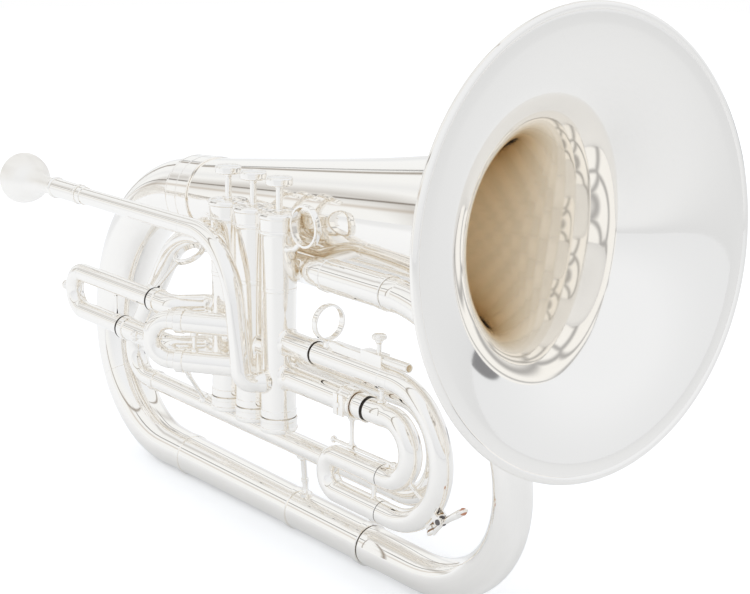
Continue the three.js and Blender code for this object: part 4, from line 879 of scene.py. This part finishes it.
def repeated(name, node, group, names, values, place, aim=UP, stands=False):
    seed = bpy.data.objects.new(f"{name}_seed", bpy.data.meshes.new(f"{name}_seed"))
    bpy.context.scene.collection.objects.link(seed)
    modifier = seed.modifiers.new("Repeat", "NODES")
    modifier.node_group = group
    for key, value in values.items():
        modifier[names[key]] = value
    bpy.context.view_layer.update()
    evaluated = seed.evaluated_get(bpy.context.evaluated_depsgraph_get())
    mesh = bpy.data.meshes.new_from_object(evaluated)
    seed.modifiers.clear()
    bpy.data.objects.remove(seed)
    turn = UP.rotation_difference(Vector(aim).normalized()).to_matrix().to_4x4()
    mesh.transform(Matrix.Translation(ORIGIN + Vector(place) * MM) @ turn)
    mesh.shade_smooth()
    mesh.set_sharp_from_angle(angle=CREASE)
    thing = bpy.data.objects.new(name, mesh)
    bpy.context.scene.collection.objects.link(thing)
    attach(thing, NODE_BODY[node])
    if stands:
        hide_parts(node)
    MADE.append(thing)
    return thing


# %% Knurls and springs
def knurl(name, node, count, radius, height, width, place, aim=UP):
    values = {"count": count, "radius": radius * MM, "height": height * MM, "width": width * MM,
              "material": SILVER}
    return repeated(name, node, KNURL, KNURL_NAMES, values, place, aim)


knurl("thumbscrew_knurl", "lyre_thumbscrew", 44, 4.3, 1.2, 0.22, V(SCREW_AT, 0, -79.6))
knurl("first_knob_knurl", "first_slide", 36, 3.36, 1.4, 0.2, V(-238.7, FIRST_SIDE, -111), -FORWARD)
knurl("second_knob_knurl", "second_slide", 36, 3.36, 1.4, 0.2, second_at(69.8, -111.5), AIM2)
SPRING = {"turns": 3.0, "radius": 7 * MM, "height": 22.6 * MM, "wire": 0.5 * MM, "material": STEEL}
for number in (1, 2, 3):
    x = (number - 3) * PITCH
    knurl(f"bottom_cap_knurl_{number}", f"bottom_cap_{number}", 84, 11.95, 1.5, 0.26, V(x, 0, -160.3))
    wire = repeated(f"valve_spring_{number}_wire", f"valve_spring_{number}", COIL, COIL_NAMES, SPRING,
                    V(x, 0, -160.5), stands=True)
    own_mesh(wire)
key_spring = {"turns": 2.6, "radius": 2.65 * MM, "height": 1.6 * MM, "wire": 0.28 * MM, "material": DARK_STEEL}
repeated("water_key_spring", "water_key_saddle", COIL, COIL_NAMES, key_spring, PIVOT - LEFT * 0.8, LEFT)
print("pieces with repeats", len(MADE))

# %% Paint what is left of the CAD nodes
for node, thing in frame["nodes"].items():
    thing.data.materials.clear()
    thing.data.materials.append(ALLOY if node.startswith("piston") else SILVER)
print("shown CAD nodes", [n for n, o in frame["nodes"].items() if not o.hide_render])

# %% [markdown]
# ## Stage, light and camera
# The horn stands on white paper, and the studio round it is white too. The plate mirrors that
# studio: thin dark seams behind the horn draw fine lines along every tube, and one dark spot at its
# left shows in the bell. Light that has bounced between two walls of plate meets a pattern of pale
# cells with dark edges, which gives the petals in the bell's throat.


# %% Floor
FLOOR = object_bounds()[0].z - 0.0006
PAPER_DARK, PAPER_LIGHT = (0.755, 0.775, 0.805, 1.0), (0.785, 0.805, 0.835, 1.0)
# Painted light: the paper glows by itself. To camera rays it glows past white, so the horn's shadow on it stays faint.
# To reflections it glows more towards the rear, a painted pool of light seen in the plate.
SEEN_GLOW, MIRRORED_GLOW = 0.34, 0.09


def flat_square(name, half, height):
    corners = [(-half, -half, height), (half, -half, height), (half, half, height), (-half, half, height)]
    mesh = bpy.data.meshes.new(name)
    mesh.from_pydata(corners, [], [(0, 1, 2, 3)])
    thing = bpy.data.objects.new(name, mesh)
    bpy.context.scene.collection.objects.link(thing)
    return thing


def make_paper():
    paper = bpy.data.materials.new("White paper")
    paper.use_nodes = True
    tree = paper.node_tree
    tree.nodes.clear()
    where = new_node(tree, "ShaderNodeTexCoord", (-800, 0))
    fibre = preset(new_node(tree, "ShaderNodeTexNoise", (-600, 0)), Scale=60.0)
    tone = new_node(tree, "ShaderNodeValToRGB", (-400, 0))
    tone.color_ramp.elements[0].color = PAPER_DARK
    tone.color_ramp.elements[1].color = PAPER_LIGHT
    matte = new_node(tree, "ShaderNodeBsdfDiffuse", (-100, 100))
    glow = new_node(tree, "ShaderNodeEmission", (200, -200))
    path = new_node(tree, "ShaderNodeLightPath", (-600, -300))
    split = new_node(tree, "ShaderNodeSeparateXYZ", (-600, -600))
    # Painted light in reflections: extra glow on the paper that grows towards the rear.
    rear = preset(new_node(tree, "ShaderNodeMapRange", (-400, -600), interpolation_type="SMOOTHSTEP"),
                  From_Min=0.45, From_Max=-0.05, To_Max=MIRRORED_GLOW)
    seen = new_node(tree, "ShaderNodeMath", (-250, -250), operation="MULTIPLY")
    seen.inputs[1].default_value = SEEN_GLOW
    mirrored = new_node(tree, "ShaderNodeMath", (-250, -450), operation="MULTIPLY")
    strength = new_node(tree, "ShaderNodeMath", (0, -300), operation="ADD")
    both = new_node(tree, "ShaderNodeAddShader", (400, 0))
    output = new_node(tree, "ShaderNodeOutputMaterial", (600, 0))
    connect(tree,
            (where, "Object", fibre, "Vector"), (where, "Object", split, "Vector"), (split, "X", rear, "Value"),
            (fibre, "Fac", tone, "Fac"), (tone, "Color", matte, "Color"),
            (path, "Is Camera Ray", seen, 0), (path, "Is Glossy Ray", mirrored, 0), (rear, "Result", mirrored, 1),
            (seen, 0, strength, 0), (mirrored, 0, strength, 1), (strength, 0, glow, "Strength"),
            (matte, "BSDF", both, 0), (glow, "Emission", both, 1), (both, "Shader", output, "Surface"))
    return paper


floor = flat_square("floor", 6.0, FLOOR)
floor.data.materials.append(make_paper())
print("floor at", round(FLOOR, 4))

# %% The studio round the horn
world = bpy.data.worlds.new("White studio")
bpy.context.scene.world = world
world.use_nodes = True
tree = world.node_tree
tree.nodes.clear()
where = new_node(tree, "ShaderNodeTexCoord", (-1400, 0))
split = new_node(tree, "ShaderNodeSeparateXYZ", (-1200, 0))
link(tree, where.outputs["Generated"], split.inputs["Vector"])


def maths(operation, *values, clamp=False):
    node = new_node(tree, "ShaderNodeMath", operation=operation, use_clamp=clamp)
    for i, value in enumerate(values):
        if isinstance(value, (int, float)):
            node.inputs[i].default_value = value
        else:
            link(tree, value, node.inputs[i])
    return node.outputs[0]


def mixed(share, first, second):
    node = new_node(tree, "ShaderNodeMix", data_type="RGBA")
    sockets = [s for s in node.inputs if s.type == "RGBA"]
    for socket, value in zip(sockets, (first, second)):
        if isinstance(value, tuple):
            socket.default_value = (*value, 1.0)
        else:
            link(tree, value, socket)
    link(tree, share, node.inputs[0])
    return [s for s in node.outputs if s.type == "RGBA"][0]


def seam(value, middle, width):
    gap = maths("ABSOLUTE", maths("SUBTRACT", value, middle))
    return maths("SUBTRACT", 1.0, maths("DIVIDE", gap, width), clamp=True)


def masked(value, low, high):
    node = preset(new_node(tree, "ShaderNodeMapRange", interpolation_type="SMOOTHSTEP"), From_Min=low, From_Max=high)
    link(tree, value, node.inputs["Value"])
    return node.outputs["Result"]


def cells(scale, high, dark, light):
    pattern = new_node(tree, "ShaderNodeTexVoronoi", feature="DISTANCE_TO_EDGE")
    preset(pattern, Scale=scale, Randomness=0.8)
    connect(tree, (where, "Generated", pattern, "Vector"))
    return mixed(masked(pattern.outputs["Distance"], 0.0, high), dark, light)


# %% Seams, spot and cells in the studio
# Each line is its angle round the X axis, its half width, its depth and its colour.
LINES = (
    (-2.62, 0.055, 0.95, (0.07, 0.05, 0.035)), (-2.36, 0.08, 0.50, (0.45, 0.35, 0.26)),
    (-1.35, 0.30, 0.22, (0.55, 0.57, 0.62)), (-0.62, 0.050, 0.95, (0.06, 0.055, 0.05)),
    (-0.44, 0.08, 0.50, (0.50, 0.42, 0.34)), (0.30, 0.20, 0.26, (0.50, 0.52, 0.57)),
    (1.05, 0.045, 0.90, (0.10, 0.09, 0.085)), (1.85, 0.26, 0.20, (0.60, 0.62, 0.68)),
    (2.48, 0.055, 0.95, (0.08, 0.06, 0.045)), (2.76, 0.10, 0.55, (0.50, 0.40, 0.30)),
)
# Each upright is its angle round the Z axis, its half width and its depth.
UPRIGHTS = ((-2.80, 0.12, 0.45), (-2.05, 0.05, 0.95), (1.95, 0.05, 0.95), (2.35, 0.18, 0.35), (2.95, 0.05, 0.95))
UPRIGHT_TONE = (0.30, 0.25, 0.20)
LOW_WALL, HIGH_WALL, REAR_WALL = (0.838, 0.862, 0.900), (0.915, 0.941, 0.983), (0.958, 0.974, 0.985)
SPOT_AIM, SPOT_TONE, SPOT_SHARE = (0.035, 0.990, -0.139), (0.16, 0.16, 0.17), 0.85
# Ray depth counts one more than the reflections: the cells show after two to four of them.
CELLS_FROM, CELLS_TO, CELL_SHARE = 2.5, 5.5, 0.75

ahead_x, height = split.outputs["X"], split.outputs["Z"]
rearward = maths("MULTIPLY", ahead_x, -1.0)
turn = maths("ARCTAN2", split.outputs["Y"], ahead_x)
roll = maths("ARCTAN2", height, split.outputs["Y"])
room = mixed(masked(height, -0.1, 0.6), LOW_WALL, HIGH_WALL)
room = mixed(masked(rearward, -0.15, 0.35), room, REAR_WALL)
behind = masked(rearward, 0.25, 0.55)
for middle, width, depth, tone in LINES:
    share = maths("MULTIPLY", maths("MULTIPLY", seam(roll, middle, width), behind), depth)
    room = mixed(share, room, tone)
for middle, width, depth in UPRIGHTS:
    share = maths("MULTIPLY", maths("MULTIPLY", seam(turn, middle, width), masked(ahead_x, 0.1, -0.2)), depth)
    room = mixed(share, room, UPRIGHT_TONE)
side = new_node(tree, "ShaderNodeVectorMath", operation="DOT_PRODUCT")
side.inputs[1].default_value = SPOT_AIM
link(tree, where.outputs["Generated"], side.inputs[0])
room = mixed(maths("MULTIPLY", masked(side.outputs["Value"], 0.970, 0.975), SPOT_SHARE), room, SPOT_TONE)

path = new_node(tree, "ShaderNodeLightPath")
depth = path.outputs["Ray Depth"]
petals = cells(1.0, 0.13, (0.34, 0.34, 0.35), (1.06, 1.08, 1.10))
clutter = cells(3.6, 0.07, (0.10, 0.07, 0.05), (0.97, 0.98, 0.99))
beyond = mixed(masked(ahead_x, -0.1, 0.15), clutter, petals)
bounced = maths("MULTIPLY", maths("GREATER_THAN", depth, CELLS_FROM), maths("LESS_THAN", depth, CELLS_TO))
room = mixed(maths("MULTIPLY", bounced, CELL_SHARE), room, beyond)
mirrored = preset(new_node(tree, "ShaderNodeBackground"), Strength=1.0)
link(tree, room, mirrored.inputs["Color"])
white = preset(new_node(tree, "ShaderNodeBackground"), Color=(1.0, 1.0, 1.0, 1.0))
choose = new_node(tree, "ShaderNodeMixShader")
link(tree, maths("SUBTRACT", 1.0, path.outputs["Is Glossy Ray"]), choose.inputs["Fac"])
output = new_node(tree, "ShaderNodeOutputWorld", (600, 0))
connect(tree, (mirrored, "Background", choose, 1), (white, "Background", choose, 2),
        (choose, "Shader", output, "Surface"))
print("world nodes", len(tree.nodes))


# %% Lights
def soft_light(name, place, size, power, colour):
    light = bpy.data.lights.new(name, "AREA")
    light.shape = "DISK"
    light.size = size
    light.energy = power
    light.color = colour
    thing = bpy.data.objects.new(name, light)
    thing.location = place
    thing.rotation_mode = "QUATERNION"
    thing.rotation_quaternion = (-Vector(place)).to_track_quat("-Z", "Y")
    thing.visible_glossy = False
    bpy.context.scene.collection.objects.link(thing)


soft_light("key", (0.9, -1.2, 1.6), 1.2, 4.0, (1.0, 0.985, 0.96))
soft_light("fill", (-1.4, -0.9, 0.9), 1.0, 2.0, (0.97, 0.985, 1.0))
soft_light("top", (0.0, 0.5, 1.8), 1.4, 3.0, (1.0, 1.0, 1.0))

# %% Camera
AZIMUTH, ELEVATION, ROLL = math.radians(50.59), math.radians(13.05), math.radians(1.01)
CAMERA_PLACE = V(740.38, -528.28, 146.81)
back = V(math.sin(AZIMUTH) * math.cos(ELEVATION), -math.cos(AZIMUTH) * math.cos(ELEVATION), math.sin(ELEVATION))
right = V(math.cos(AZIMUTH), math.sin(AZIMUTH), 0)
upward = back.cross(right)
rolled_right = right * math.cos(ROLL) + upward * math.sin(ROLL)
rolled_up = upward * math.cos(ROLL) - right * math.sin(ROLL)
camera_data = bpy.data.cameras.new("camera")
camera_data.lens = 72.0
camera_data.sensor_width = 36.0
camera_data.shift_x = -0.0049
camera_data.shift_y = -0.0234
camera_data.clip_start = 0.05
camera_data.clip_end = 50.0
camera = bpy.data.objects.new("camera", camera_data)
bpy.context.scene.collection.objects.link(camera)
spin = Matrix((rolled_right, rolled_up, back)).transposed()
camera.matrix_world = Matrix.Translation(ORIGIN + CAMERA_PLACE * MM) @ spin.to_4x4()
bpy.context.scene.camera = camera
print("camera at", [round(v, 4) for v in camera.location])

# %% Render settings
scene = bpy.context.scene
scene.render.engine = "CYCLES"
scene.cycles.samples = 256
scene.cycles.use_denoising = True
scene.cycles.max_bounces = 40
scene.cycles.glossy_bounces = 40
scene.cycles.diffuse_bounces = 4
scene.render.resolution_x = 750
scene.render.resolution_y = 594
scene.render.resolution_percentage = 100
scene.view_settings.view_transform = "Standard"
scene.view_settings.look = "None"
scene.view_settings.exposure = 0.0
scene.view_settings.gamma = 1.0

# %% Sizes
print("triangles", sum(len(p.vertices) - 2 for o in MADE for p in o.data.polygons))
